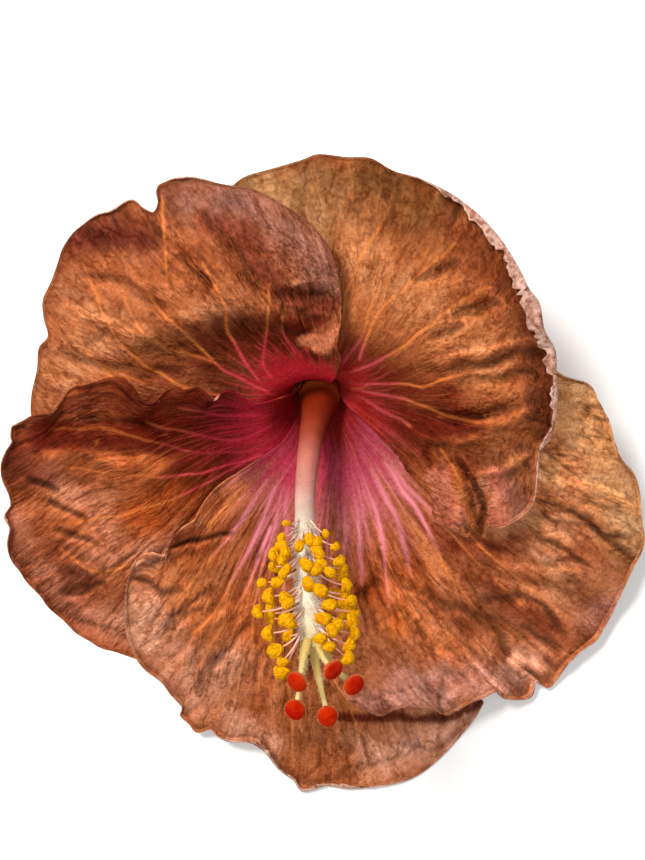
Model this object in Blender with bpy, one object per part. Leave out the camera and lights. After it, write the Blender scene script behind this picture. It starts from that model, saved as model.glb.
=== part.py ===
"""Hibiscus bloom, picked with a short stalk and lying on its back, face up.

Metres, +Z up. The bloom rests on z = 0, and the origin is under the middle of its bounding box.
Sizes below are in millimetres. Places on the face are written as they are seen from straight above,
on a level plane through the middle of the bloom; seen() carries them along the line of sight to their
own height.

A petal is a four-sided patch: its claw in the tube, two sides and an outer margin. Its first side is
tucked under one neighbour and its second side lies over the other, all the way round.
"""
import math

import bmesh
import bpy
import numpy as np

MM = 0.001

# Line of sight
EYE = (0.0, 10.5, 500.0)
FACE_PLANE_Z = 35.0

# Middle of the bloom's bounding box, and its lowest point, before the origin is moved there
MIDDLE = (0.92, -4.21, 0.06)

# Floral tube: the deep end that the petals and the column stand on, and how the tube widens
DEEP_END = (-0.8, 22.0, 14.0)
TUBE_TILT = 30.0
TUBE_RADII = [(0.0, 5.7), (4.0, 6.2), (8.0, 7.4), (12.0, 9.2), (16.0, 11.6), (18.0, 13.0), (24.0, 18.5)]
RIM_HEIGHT = 18.0
CLAW_STEPS = (0.0, 5.0, 10.0, 14.0)

# Petals
PETAL_THICKNESS = 0.45
PETAL_HALF_ANGLE = 50.0
TUCK_AT_CLAW = 0.8
TUCK_PER_HEIGHT = 0.06
LIFT_AT_MARGIN = 4.0
LOWEST_PETAL_Z = 0.5
PETAL_COLUMNS = 36
LIMB_STEPS = (0.0, 0.08, 0.18, 0.29, 0.40, 0.51, 0.62, 0.73, 0.84, 0.93, 1.0)
# The small waves of a margin are those lost when it is smoothed over this many columns to each side.
# They fade in from this share of the way out.
MARGIN_SMOOTHING = 4
WAVES_FROM = 0.74

# Height of the open face above the surface that the bloom lies on: (x, y, z)
FACE_HEIGHTS = [
    (-1, 78, 50), (-40, 70, 45), (-65, 53, 41), (-72, 30, 37), (34, 67, 46), (54, 40, 42), (57, 18, 37),
    (80, -12, 17), (68, -42, 2), (46, -56, 5), (15, -60, 12), (30, -70, 4), (-5, -79, 0), (-30, -65, 3),
    (-79, -2, 23), (-70, -32, 5), (-52, -45, 1), (-30, 48, 55), (27, 48, 56), (-50, 30, 49),
    (46, 22, 47), (-43, -2, 39), (37, -2, 41), (60, -8, 32), (20, -37, 27), (42, -32, 22), (-23, -42, 22),
    (-5, -57, 14), (-22, 20, 39), (22, 22, 43), (0, -8, 28), (-1, 34, 46), (-18, 4, 32), (17, 0, 32),
]

# Broad folds across each petal: points along the fold, half its width, and its height
FOLDS = {
    "petal_upper_left": [
        ([(-28, 65), (-19, 52), (-13, 43.5), (3, 43)], 6.0, -2.6),
        ([(-66, 36), (-45, 44), (-28, 46)], 8.0, 1.4),
        ([(-60, 25), (-38, 30), (-20, 33)], 6.0, -1.0),
    ],
    "petal_upper_right": [
        ([(24, 9), (39, 5), (56, 9)], 6.5, -2.0),
        ([(20, 46), (38, 53)], 7.0, -1.4),
        ([(30, 34), (52, 40)], 6.0, 1.2),
    ],
    "petal_right": [
        ([(17, -24), (27, -32), (40, -36), (45, -42), (48, -52)], 6.0, -2.4),
        ([(36, -30), (52, -31), (62, -40)], 6.0, 1.2),
        ([(54, -8), (70, -14), (79, -23)], 6.0, -1.3),
    ],
    "petal_bottom": [
        ([(-43, -21), (-30, -19.5), (-20, -16)], 4.5, -1.8),
        ([(-46, -28), (-36, -32), (-24, -44)], 6.0, 1.3),
        ([(-38, -57), (-22, -54), (-14, -42)], 6.0, -1.2),
    ],
    "petal_left": [
        ([(-74, -4), (-60, -8), (-44, -4)], 6.0, -1.4),
        ([(-70, 8), (-48, 8), (-26, 6)], 6.0, 1.2),
        ([(-66, -22), (-50, -22)], 6.0, 1.0),
    ],
}

# Each petal: the direction it grows from the tube, its tucked side, its margin and its lapping side.
# The sides run from the rim of the tube outwards, and the margin from the tucked to the lapping side.
PETALS = {
    "petal_upper_left": {
        "direction": 122.0,
        "tucked": [(-22, 10), (-36, 6.5), (-50, 5.5), (-63, 7.5)],
        "margin": [
            (-70, 11), (-72.8, 14), (-72.8, 19.5), (-71.5, 25.5), (-71, 31), (-68.8, 34), (-69.8, 38.5),
            (-70, 43), (-68, 47.5), (-66.2, 52.5), (-65, 56), (-62.5, 59.5), (-59.5, 62), (-56.5, 64),
            (-53, 65), (-48, 67.8), (-45.2, 66), (-42.5, 65), (-41.2, 67.5), (-41.5, 70.8), (-39.5, 72.5),
            (-33, 73.5), (-25, 72), (-16.8, 70.5), (-9.2, 66.5), (-3, 62), (1.5, 56.8),
        ],
        "lapping": [(4.6, 27.5), (3.6, 31), (4.4, 37), (4.7, 44), (3.7, 50.5)],
    },
    "petal_upper_right": {
        "direction": 50.0,
        "tucked": [(-2.5, 33), (-8, 45.5), (-15, 58), (-20.5, 67)],
        "margin": [
            (-22.8, 71.5), (-19.2, 74), (-13, 75.8), (-5.5, 78), (-1, 79.5), (5.8, 78.8), (12, 78.5),
            (17.5, 75.5), (24.5, 73), (30.8, 70), (35, 67.2), (40, 63), (45.2, 56.8), (49, 50.5),
            (51.5, 45.5), (54, 41.8), (55.2, 35.5), (57.8, 30.5), (58.2, 25), (58.5, 19), (58, 13.5),
            (56.8, 8.5), (54.8, 6.2), (53.8, 1.8), (53.5, -2), (52.3, -8), (49.7, -11.2), (45.2, -13.9),
            (42.6, -14.2), (41.6, -13.4), (40.3, -16.5), (37.9, -13.9), (36.3, -16.3), (32, -14.4),
            (27.3, -12),
        ],
        "lapping": [(14.5, 8.8), (18.8, 4.2), (20.8, 0.5), (24, -3), (27.2, -6.5)],
    },
    "petal_right": {
        "direction": -22.0,
        "tucked": [(22, 20), (33, 23), (45, 25), (54, 26)],
        "margin": [
            (58.2, 25.3), (61, 23.5), (67, 21.5), (69.2, 17.5), (71.8, 12.5), (73.2, 7.5), (75, 3),
            (78, -0.8), (79.5, -5.8), (79.8, -12), (80.5, -17), (79.5, -20.8), (78, -23.5), (75.8, -28.2),
            (73, -34), (70.2, -38.8), (68.2, -42), (64.5, -44.8), (61, -48.2), (57.2, -53.5),
            (54.8, -53), (53.2, -52), (51.8, -56.2), (45.8, -56.5), (43.8, -54.8), (40.5, -56.5),
            (37, -57.8), (33.2, -60), (30.8, -60.8), (27, -59.2), (19.5, -59), (14.5, -61), (10.8, -59.5),
            (7, -57.5),
        ],
        "lapping": [(0.8, -1.5), (-1.5, -12), (-2.8, -22), (-2.8, -32), (-1.5, -42), (1, -49), (4.5, -55)],
    },
    "petal_bottom": {
        "direction": -94.0,
        "tucked": [(12, -12), (22, -32), (32, -47), (38.5, -55)],
        "margin": [
            (40.2, -57.5), (38.2, -61.2), (35, -65.2), (30.8, -70), (25.8, -74.2), (20.8, -76.8),
            (14.5, -78.2), (7, -78.8), (0.8, -78.2), (-5, -79.5), (-7.2, -76.8), (-11, -74), (-14.2, -70),
            (-18, -67.5), (-23, -67.2), (-26, -66), (-28.2, -64.2), (-31.5, -65.2), (-33.5, -63),
            (-35.5, -61.2), (-35.2, -59), (-38, -55.8), (-40.5, -52.5), (-44.5, -49.5), (-47.2, -45.8),
            (-49, -40.8), (-49.5, -34.5), (-49.2, -29), (-48, -25.2), (-46.8, -22),
        ],
        "lapping": [
            (-18, 1.8), (-24.2, -2.2), (-27.5, -5), (-30.5, -9), (-31.8, -11.8), (-35, -14), (-38, -17.5),
            (-39.5, -20.8), (-44, -20),
        ],
    },
    "petal_left": {
        "direction": 194.0,
        "tucked": [(-18, -4), (-26, -18), (-36, -34), (-43, -43)],
        "margin": [
            (-46, -47), (-51.8, -45), (-55.5, -44), (-58.5, -42.2), (-61.8, -40.2), (-65, -37),
            (-68.5, -34), (-70.5, -31.2), (-73.8, -27.8), (-75.5, -25.2), (-77.5, -22.5), (-78.5, -19.5),
            (-78.5, -17), (-77.5, -14), (-79.8, -10.8), (-77.5, -10.2), (-76, -8.2), (-78, -5), (-80, -2),
            (-80.2, 1.8), (-79, 5), (-76.5, 7.2), (-78, 9), (-77.5, 11.2), (-75.5, 12),
        ],
        "lapping": [
            (-16, 16.8), (-19.2, 18.2), (-22.2, 20), (-25, 19.8), (-26.8, 17.5), (-28.5, 19), (-30.5, 21.2),
            (-34.2, 20.3), (-36.8, 21), (-39.2, 20), (-41, 18), (-43, 17), (-45.5, 18.2), (-48, 21.8),
            (-50.5, 23.8), (-54.2, 23.5), (-58.5, 21.8), (-62.5, 21), (-65, 17.5), (-66.8, 14.5),
            (-69, 13.5), (-71.5, 14.8), (-73, 12),
        ],
    },
}

# Staminal column: (x, y, z, radius) along its middle line, from the deep end to its tip
COLUMN = [
    (-0.8, 20.7, 15.5, 4.5), (-0.8, 18.7, 19.5, 5.2), (-1.0, 16.6, 23.5, 4.6), (-1.8, 13.5, 28.0, 3.7),
    (-3.0, 8.0, 35.0, 3.0), (-3.8, 2.0, 40.5, 2.7), (-4.4, -5.0, 46.0, 2.5), (-4.5, -12.0, 50.5, 2.4),
    (-4.3, -20.0, 55.0, 2.4), (-3.8, -28.0, 58.8, 2.3), (-3.3, -35.0, 61.8, 2.2), (-2.8, -40.0, 63.7, 2.1),
    (-2.6, -42.0, 64.4, 1.9),
]
COLUMN_SIDES = 14
# Steps at which the column's curve is sampled to find where a stamen stands
COLUMN_STEPS = 120

# Stamens: where each anther is seen (x, y), its radius, and whether it stands before (1) or behind (-1)
STAMEN_REACH = 10.5
STAMEN_RISE_SHARE = 0.8
STAMEN_LEAST_RISE = 2.0
STAMEN_SEAT = 0.42
ROOTS_FROM_TO = (0.60, 0.945)
FILAMENT_RADIUS = 0.28
STAMEN_SIDES = 6
# Along the anther end of a stamen: shares of the anther's radius, from its foot to its top
ANTHER_PROFILE = [(-0.5, 0.85), (0.0, 1.0), (0.75, 0.6)]
STAMENS = [
    (-9.2, -12.8, 0.8, 1), (-10.2, -16.8, 1.1, 1), (-12.0, -20.8, 1.4, 1), (-9.2, -20.0, 1.3, 1),
    (-12.2, -23.8, 1.3, -1), (-9.2, -24.6, 1.2, 1), (-11.4, -27.6, 1.4, 1), (-15.0, -27.8, 1.3, 1),
    (-13.4, -31.2, 1.5, 1), (-9.2, -31.6, 1.5, 1), (-16.2, -35.0, 1.3, 1), (-12.8, -35.4, 1.5, -1),
    (-9.4, -37.0, 1.6, 1), (-13.6, -40.4, 1.5, 1), (-8.6, -41.0, 1.3, -1), (-11.8, -44.6, 1.8, 1),
    (-10.4, -50.0, 1.6, 1), (-5.8, -18.6, 1.2, 1), (-3.0, -17.2, 1.4, 1), (-1.4, -19.3, 1.1, 1),
    (-3.8, -23.4, 1.5, 1), (-0.1, -23.0, 1.2, 1), (-3.5, -28.2, 1.5, 1), (-0.4, -29.8, 1.6, 1),
    (0.8, -15.6, 0.9, 1), (3.3, -18.6, 1.0, 1), (4.3, -22.2, 1.3, 1), (2.0, -25.2, 1.3, 1),
    (4.8, -25.8, 1.4, -1), (5.9, -28.4, 1.4, 1), (4.2, -30.4, 1.3, -1), (7.0, -32.2, 1.5, 1),
    (2.0, -33.2, 1.5, 1), (5.4, -35.0, 1.3, -1), (0.4, -36.8, 1.6, 1), (3.5, -38.0, 1.6, 1),
    (7.2, -37.6, 1.6, 1), (-0.4, -41.6, 1.3, 1), (6.7, -43.2, 1.4, 1), (6.3, -46.6, 1.5, 1),
]

# Styles: where each starts round the tip of the column (degrees), (x, y, z) half way and at the middle of
# its stigma, and the way the stigma faces
STYLE_RADIUS = 0.75
STYLE_SIDES = 8
STYLE_CIRCLE = 1.6
STYLE_SEAT = 0.6
STYLE_STEPS = 8
STIGMA_RADIUS = 2.4
STIGMA_THICKNESS = 2.4
STIGMA_SEAT = 0.95
STIGMA_SIDES = 14
STIGMA_BULGE = 0.1
# Through a stigma from its underside to its top: shares of half its thickness and of its radius
STIGMA_PROFILE = [(-1.0, 0.5), (-0.5, 0.86), (0.2, 1.0), (0.75, 0.85), (1.0, 0.55)]
STYLES = [
    (126.0, (-4.9, -47.6, 68.0), (-6.2, -52.4, 71.6), (-0.45, -0.35, 0.82)),
    (198.0, (-5.4, -51.8, 63.2), (-6.8, -59.4, 66.2), (-0.10, -0.20, 0.97)),
    (270.0, (-0.7, -52.6, 62.6), (1.3, -61.0, 67.0), (0.05, -0.20, 0.98)),
    (54.0, (0.1, -46.2, 69.0), (2.6, -49.4, 72.2), (0.50, -0.45, 0.74)),
    (342.0, (2.9, -48.8, 65.4), (7.8, -53.2, 68.6), (0.40, -0.25, 0.88)),
]

# Calyx: a five-lobed cup round the tube
CALYX_GAP = 0.6
CALYX_WALL = 0.7
CALYX_FLOOR = 2.4
CALYX_FLOOR_GAP = 0.35
CALYX_NOTCH_HEIGHT = 9.0
CALYX_LOBE_HEIGHT = 17.0
CALYX_LOBES = 5
CALYX_SEGMENTS = 40
CALYX_RINGS = 7
# Radii of the rings on the flat underside of the calyx
CALYX_UNDERSIDE = (6.2, 3.0)

# Epicalyx: narrow bracts on a collar under the calyx
BRACTS = 7
SECTORS_PER_BRACT = 4
BRACT_THICKNESS = 0.7
COLLAR_RADII = (2.1, 4.0)
COLLAR_DROP = 0.4
# Along a bract: distance from the tube's middle line, height above the collar, half its width
BRACT_LINE = [(7.0, -0.4, 1.2), (10.3, 0.8, 1.3), (12.0, 3.6, 1.25), (13.0, 7.2, 1.0), (14.6, 11.0, 0.3)]

# Stalk: (x, y, z, radius) from under the calyx to the cut end, lying on the surface
STALK = [
    (-0.8, 24.0, 9.6, 1.9), (-0.8, 25.3, 7.4, 1.6), (-0.6, 27.4, 5.0, 1.4), (0.0, 30.6, 3.1, 1.35),
    (1.4, 35.0, 1.9, 1.3), (3.6, 40.5, 1.4, 1.3), (6.6, 46.5, 1.35, 1.3), (10.0, 52.0, 1.35, 1.3),
]
STALK_SIDES = 10
STALK_STEPS = 15

# How far the end of a round rod is domed, as a share of its radius
ROD_BULGE = 0.25

COLOURS = {
    "petal": ((0.45, 0.13, 0.055), 0.6),
    "column": ((0.80, 0.62, 0.48), 0.5),
    "stamen": ((0.84, 0.42, 0.01), 0.8),
    "style": ((0.70, 0.62, 0.28), 0.5),
    "stigma": ((0.52, 0.02, 0.003), 0.8),
    "calyx": ((0.16, 0.24, 0.06), 0.6),
    "stalk": ((0.20, 0.22, 0.07), 0.6),
}


def clear_scene():
    for obj in list(bpy.data.objects):
        bpy.data.objects.remove(obj)


def material(kind):
    found = bpy.data.materials.get(kind)
    if found:
        return found
    colour, roughness = COLOURS[kind]
    made = bpy.data.materials.new(kind)
    made.use_nodes = True
    shader = made.node_tree.nodes["Principled BSDF"]
    shader.inputs["Base Color"].default_value = (*colour, 1.0)
    shader.inputs["Roughness"].default_value = roughness
    shader.inputs["Metallic"].default_value = 0.0
    return made


def seen(x, y, z):
    """The point at height z that is seen at (x, y) on the face plane."""
    scale = (EYE[2] - z) / (EYE[2] - FACE_PLANE_Z)
    return np.array([EYE[0] + (x - EYE[0]) * scale, EYE[1] + (y - EYE[1]) * scale, z])


def as_seen(point):
    """Where a point is seen on the face plane."""
    scale = (EYE[2] - FACE_PLANE_Z) / (EYE[2] - point[2])
    return np.array([EYE[0] + (point[0] - EYE[0]) * scale, EYE[1] + (point[1] - EYE[1]) * scale])


def line_shares(points):
    """How far along a line each of its points lies, from 0 to 1."""
    lengths = np.linalg.norm(np.diff(np.array(points, float), axis=0), axis=1)
    return np.concatenate([[0.0], np.cumsum(lengths)]) / lengths.sum()


def smooth_line(points, shares):
    """Points at these shares (0 to 1) of the length of a smooth curve through the given points."""
    points = np.array(points, float)
    padded = np.vstack([2 * points[0] - points[1], points, 2 * points[-1] - points[-2]])
    at = line_shares(points)
    found = []
    for share in shares:
        k = int(np.clip(np.searchsorted(at, share, side="right") - 1, 0, len(points) - 2))
        t = (share - at[k]) / (at[k + 1] - at[k])
        a, b, c, d = padded[k:k + 4]
        found.append(0.5 * (2 * b + (c - a) * t + (2 * a - 5 * b + 4 * c - d) * t**2
                            + (3 * b - a - 3 * c + d) * t**3))
    return np.array(found)


def spread_heights(samples):
    """A smooth surface through (x, y, z) samples, as a function of x and y (a thin-plate spline)."""
    samples = np.array(samples, float)
    places, heights = samples[:, :2], samples[:, 2]

    def kernel(distance):
        return np.where(distance > 0, distance**2 * np.log(np.maximum(distance, 1e-9)), 0.0)

    count = len(samples)
    system = np.zeros((count + 3, count + 3))
    system[:count, :count] = kernel(np.linalg.norm(places[:, None] - places[None], axis=2))
    system[:count, count] = system[count, :count] = 1.0
    system[:count, count + 1:] = places
    system[count + 1:, :count] = places.T
    weights = np.linalg.solve(system, np.concatenate([heights, np.zeros(3)]))

    def height(x, y):
        bends = kernel(np.hypot(places[:, 0] - x, places[:, 1] - y)) @ weights[:count]
        return bends + weights[count] + weights[count + 1] * x + weights[count + 2] * y

    return height


def smoothed(points, reach):
    """A line of points with its small waves taken out and its ends kept."""
    before = 2 * points[0] - points[reach:0:-1]
    after = 2 * points[-1] - points[-2:-reach - 2:-1]
    longer = np.concatenate([before, points, after])
    weights = np.hanning(2 * reach + 3)[1:-1]
    weights = weights / weights.sum()
    return np.stack([np.convolve(longer[:, k], weights, mode="valid") for k in (0, 1)], axis=1)


def tube_axes():
    tilt = math.radians(TUBE_TILT)
    along = np.array([0.0, -math.sin(tilt), math.cos(tilt)])
    across = np.array([1.0, 0.0, 0.0])
    upward = np.array([0.0, math.cos(tilt), math.sin(tilt)])
    return along, across, upward


def tube_radius(height):
    heights, radii = zip(*TUBE_RADII)
    return float(np.interp(height, heights, radii))


def tube_point(height, radius, degrees):
    """A point round the tube: a height up its middle line, a radius and a direction."""
    along, across, upward = tube_axes()
    angle = math.radians(degrees)
    return (np.array(DEEP_END) + along * height
            + radius * (across * math.cos(angle) + upward * math.sin(angle)))


def claw_point(petal, u, height):
    """A point of the petal inside the tube; u runs from -1 at the tucked side to 1 at the lapping side."""
    tuck = (TUCK_AT_CLAW + TUCK_PER_HEIGHT * height) * u
    degrees = petal["direction"] - PETAL_HALF_ANGLE * u
    return tube_point(height, tube_radius(height) - tuck, degrees)


def limb_plan(petal, across, outward):
    """Where the open part of a petal is seen: a patch between the rim, its two sides and its margin.

    The small waves of the margin fade out towards the inside.
    """
    rim = np.array([as_seen(claw_point(petal, 2 * a - 1, RIM_HEIGHT)) for a in across])
    margin = smooth_line(petal["margin"], across)
    soft_margin = smoothed(margin, MARGIN_SMOOTHING)
    tucked = smooth_line([rim[0], *petal["tucked"], margin[0]], outward)
    lapping = smooth_line([rim[-1], *petal["lapping"], margin[-1]], outward)
    a, o = across[:, None, None], outward[None, :, None]
    ruled_out = (1 - o) * rim[:, None] + o * soft_margin[:, None]
    ruled_across = (1 - a) * tucked[None] + a * lapping[None]
    corners = ((1 - a) * ((1 - o) * rim[0] + o * margin[0]) + a * ((1 - o) * rim[-1] + o * margin[-1]))
    waves = (margin - soft_margin)[:, None] * np.clip((o - WAVES_FROM) / (1 - WAVES_FROM), 0, 1)
    return ruled_out + ruled_across - corners + waves


def fold_height(folds, x, y):
    """How much the folds of a petal raise it at (x, y): each is a rounded ridge or groove along a line."""
    total = 0.0
    for points, half_width, height in folds:
        nearest = 1e9
        for (x1, y1), (x2, y2) in zip(points, points[1:]):
            length_squared = (x2 - x1)**2 + (y2 - y1)**2
            t = ((x - x1) * (x2 - x1) + (y - y1) * (y2 - y1)) / length_squared
            t = min(max(t, 0.0), 1.0)
            nearest = min(nearest, math.hypot(x - x1 - t * (x2 - x1), y - y1 - t * (y2 - y1)))
        total += height * math.exp(-(nearest / half_width)**2)
    return total


def petal_rows(petal, folds, face_height):
    """Rows of points from the claw to the margin."""
    across = np.linspace(0.0, 1.0, PETAL_COLUMNS + 1)
    rows = [[claw_point(petal, 2 * a - 1, height) for a in across] for height in CLAW_STEPS]
    outward = np.array(LIMB_STEPS)
    plan = limb_plan(petal, across, outward)
    tuck_at_rim = TUCK_AT_CLAW + TUCK_PER_HEIGHT * RIM_HEIGHT
    rows.append([claw_point(petal, 2 * a - 1, RIM_HEIGHT) for a in across])
    for k, out in enumerate(outward[1:], 1):
        lift = tuck_at_rim + (LIFT_AT_MARGIN - tuck_at_rim) * min(1.0, 2 * out)
        row = []
        for i, a in enumerate(across):
            x, y = plan[i, k]
            z = face_height(x, y) + lift * (2 * a - 1) + fold_height(folds, x, y)
            row.append(seen(x, y, max(z, LOWEST_PETAL_Z)))
        rows.append(row)
    return np.array(rows)


def place(name, vertices, faces, kind):
    """A named mesh object, moved so that the bloom's middle is at the origin."""
    shifted = (np.array(vertices) - np.array(MIDDLE)) * MM
    mesh = bpy.data.meshes.new(name)
    mesh.from_pydata([tuple(map(float, v)) for v in shifted], [], faces)
    mesh.materials.append(material(kind))
    mesh.shade_smooth()
    obj = bpy.data.objects.new(name, mesh)
    bpy.context.scene.collection.objects.link(obj)
    return obj


def sheet(name, rows, thickness, kind):
    """A thin skin over rows of points, thickened away from its upper side."""
    count, width = rows.shape[:2]
    faces = []
    for j in range(count - 1):
        for i in range(width - 1):
            near = j * width + i
            far = near + width
            faces.append((near, near + 1, far + 1, far))
    obj = place(name, rows.reshape(-1, 3), faces, kind)
    wall = obj.modifiers.new("thickness", "SOLIDIFY")
    wall.thickness = thickness * MM
    wall.offset = -1.0


def face_outwards(obj):
    shape = bmesh.new()
    shape.from_mesh(obj.data)
    bmesh.ops.recalc_face_normals(shape, faces=shape.faces)
    shape.to_mesh(obj.data)
    shape.free()


def ring_stack(name, rings, first, last, kind):
    """A closed skin over a stack of rings, with a point closing each end."""
    sides = len(rings[0])
    vertices = [first, *[p for ring in rings for p in ring], last]
    faces = []
    for i in range(sides):
        after = (i + 1) % sides
        faces.append((0, 1 + after, 1 + i))
        for k in range(len(rings) - 1):
            low, high = 1 + k * sides, 1 + (k + 1) * sides
            faces.append((low + i, low + after, high + after, high + i))
        top = 1 + (len(rings) - 1) * sides
        faces.append((top + i, top + after, len(vertices) - 1))
    face_outwards(place(name, vertices, faces, kind))


def rod(name, middles, radii, sides, kind, bulge=ROD_BULGE):
    """A round rod along a line of points, with a radius at each and slightly domed ends."""
    middles = np.array(middles, float)
    steps = np.gradient(middles, axis=0)
    rings = []
    side = np.array([1.0, 0.0, 0.0])
    for middle, step, radius in zip(middles, steps, radii):
        forward = step / np.linalg.norm(step)
        side = side - forward * (side @ forward)
        side = side / np.linalg.norm(side)
        other = np.cross(forward, side)
        turns = [2 * math.pi * k / sides for k in range(sides)]
        rings.append([middle + radius * (side * math.cos(t) + other * math.sin(t)) for t in turns])
    start = middles[0] - steps[0] / np.linalg.norm(steps[0]) * bulge * radii[0]
    end = middles[-1] + steps[-1] / np.linalg.norm(steps[-1]) * bulge * radii[-1]
    ring_stack(name, rings, start, end, kind)


def column_line():
    """The column's middle line in space, and its radii."""
    points = [seen(x, y, z) for x, y, z, _ in COLUMN]
    return np.array(points), [radius for *_, radius in COLUMN]


def add_petals():
    face_height = spread_heights(FACE_HEIGHTS)
    for name, petal in PETALS.items():
        sheet(name, petal_rows(petal, FOLDS[name], face_height), PETAL_THICKNESS, "petal")


def add_column():
    points, radii = column_line()
    rod("staminal_column", points, radii, COLUMN_SIDES, "column")


def stamen_points(x, y, side):
    """The root of a stamen on the column's skin and the middle of its anther."""
    line, radii = column_line()
    fine = np.linspace(0.0, 1.0, COLUMN_STEPS + 1)
    middles = smooth_line(line, fine)
    girths = np.interp(fine, line_shares(line), radii)
    ends = [stamen[1] for stamen in STAMENS]
    share = (max(ends) - y) / (max(ends) - min(ends))
    lowest, highest = ROOTS_FROM_TO
    root_at = int(round(COLUMN_STEPS * (lowest + (highest - lowest) * share)))
    beside = middles[int(np.argmin([abs(as_seen(m)[1] - y) for m in middles]))]
    aside = x - as_seen(beside)[0]
    rise = math.sqrt(max(STAMEN_REACH**2 - aside**2, STAMEN_LEAST_RISE**2))
    anther = seen(x, y, beside[2] + side * STAMEN_RISE_SHARE * rise)
    forward = middles[root_at + 1] - middles[root_at]
    forward = forward / np.linalg.norm(forward)
    outward = anther - middles[root_at]
    outward = outward - forward * (outward @ forward)
    outward = outward / np.linalg.norm(outward)
    reach = girths[root_at] + STAMEN_SEAT + ROD_BULGE * FILAMENT_RADIUS
    return middles[root_at] + outward * reach, anther


def add_stamens():
    for number, (x, y, radius, side) in enumerate(STAMENS, 1):
        root, anther = stamen_points(x, y, side)
        reach = np.linalg.norm(anther - root)
        forward = (anther - root) / reach
        filament = [(t * (reach - radius), FILAMENT_RADIUS) for t in (0.0, 0.5, 1.0)]
        head = [(reach + along * radius, girth * radius) for along, girth in ANTHER_PROFILE]
        middles = [root + forward * along for along, _ in filament + head]
        radii = [girth for _, girth in filament + head]
        rod(f"stamen_{number:02d}", middles, radii, STAMEN_SIDES, "stamen")


def style_points(degrees, half_way, middle, facing):
    """A style's middle line, from its seat at the tip of the column to its stigma's underside."""
    line, _ = column_line()
    forward = line[-1] - line[-2]
    forward = forward / np.linalg.norm(forward)
    right = np.array([1.0, 0.0, 0.0]) - forward * forward[0]
    right = right / np.linalg.norm(right)
    upward = np.cross(forward, right)
    angle = math.radians(degrees)
    start = line[-1] + STYLE_CIRCLE * (right * math.cos(angle) + upward * math.sin(angle))
    start = start + forward * STYLE_SEAT
    end = middle - facing * (STIGMA_THICKNESS / 2 + STIGMA_SEAT)
    return smooth_line([start, seen(*half_way), end], np.linspace(0.0, 1.0, STYLE_STEPS))


def add_styles():
    for number, (degrees, half_way, middle, facing) in enumerate(STYLES, 1):
        middle = seen(*middle)
        facing = np.array(facing) / np.linalg.norm(facing)
        stem = style_points(degrees, half_way, middle, facing)
        rod(f"style_{number}", stem, [STYLE_RADIUS] * len(stem), STYLE_SIDES, "style")
        half = STIGMA_THICKNESS / 2
        pad = [middle + facing * half * along for along, _ in STIGMA_PROFILE]
        widths = [STIGMA_RADIUS * girth for _, girth in STIGMA_PROFILE]
        rod(f"stigma_{number}", pad, widths, STIGMA_SIDES, "stigma", bulge=STIGMA_BULGE)


def calyx_radius(height):
    return (tube_radius(max(height, 0.0)) + TUCK_AT_CLAW + TUCK_PER_HEIGHT * max(height, 0.0)
            + PETAL_THICKNESS + CALYX_GAP)


def add_calyx():
    directions = [360.0 * k / CALYX_SEGMENTS for k in range(CALYX_SEGMENTS)]
    lobe_turn = 360.0 / CALYX_LOBES
    first_lobe = PETALS["petal_upper_left"]["direction"] + lobe_turn / 2
    cup_depth = CALYX_LOBE_HEIGHT - CALYX_NOTCH_HEIGHT

    def top(degrees):
        """The cup's height here: five pointed lobes with round notches between them."""
        turn = ((degrees - first_lobe) / lobe_turn) % 1.0
        from_tip = abs(turn - round(turn)) * 2
        return CALYX_LOBE_HEIGHT - cup_depth * math.sin(from_tip * math.pi / 2)

    inner, outer = [], []
    low = -CALYX_FLOOR_GAP
    for share in np.linspace(0.0, 1.0, CALYX_RINGS):
        heights = [low + (top(d) - low) * share for d in directions]
        inner.append([tube_point(h, calyx_radius(h), d) for h, d in zip(heights, directions)])
        outer.append([tube_point(h, calyx_radius(h) + CALYX_WALL, d) for h, d in zip(heights, directions)])
    under = low - CALYX_FLOOR
    underside = [[tube_point(under, radius, d) for d in directions] for radius in CALYX_UNDERSIDE]
    rings = [*inner, *reversed(outer), *underside]
    ring_stack("calyx", rings, tube_point(low, 0.0, 0.0), tube_point(under, 0.0, 0.0), "calyx")


def add_epicalyx():
    """A flat collar with narrow pointed bracts that curve up outside the calyx."""
    base = -CALYX_FLOOR_GAP - CALYX_FLOOR - COLLAR_DROP
    vertices, faces = [], []
    sectors = BRACTS * SECTORS_PER_BRACT
    inner_radius, outer_radius = COLLAR_RADII

    def add(height, radius, degrees):
        for level in (0.0, -BRACT_THICKNESS):
            vertices.append(tube_point(height + level, radius, degrees))
        return len(vertices) - 2

    inner = [add(base, inner_radius, 360.0 * k / sectors) for k in range(sectors)]
    outer = [add(base, outer_radius, 360.0 * k / sectors) for k in range(sectors)]

    def box(a, b, c, d, sides):
        """The upper and lower faces of a cell, and the named sides of it."""
        faces.append((a, b, c, d))
        faces.append((d + 1, c + 1, b + 1, a + 1))
        edges = {"ab": (a, b), "bc": (b, c), "cd": (c, d), "da": (d, a)}
        for side in sides:
            start, end = edges[side]
            faces.append((start, start + 1, end + 1, end))

    for k in range(sectors):
        after = (k + 1) % sectors
        is_bract = k % SECTORS_PER_BRACT == 0
        box(inner[k], outer[k], outer[after], inner[after], ("da",) if is_bract else ("da", "bc"))
        if not is_bract:
            continue
        start = (outer[k], outer[after])
        middle_degrees = 360.0 * (k + 0.5) / sectors
        for radius, rise, half_width in BRACT_LINE:
            half_turn = math.degrees(half_width / radius)
            here = (add(base + rise, radius, middle_degrees - half_turn),
                    add(base + rise, radius, middle_degrees + half_turn))
            at_tip = radius == BRACT_LINE[-1][0]
            box(start[0], here[0], here[1], start[1], ("ab", "cd", "bc") if at_tip else ("ab", "cd"))
            start = here
    face_outwards(place("epicalyx", vertices, faces, "calyx"))


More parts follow.
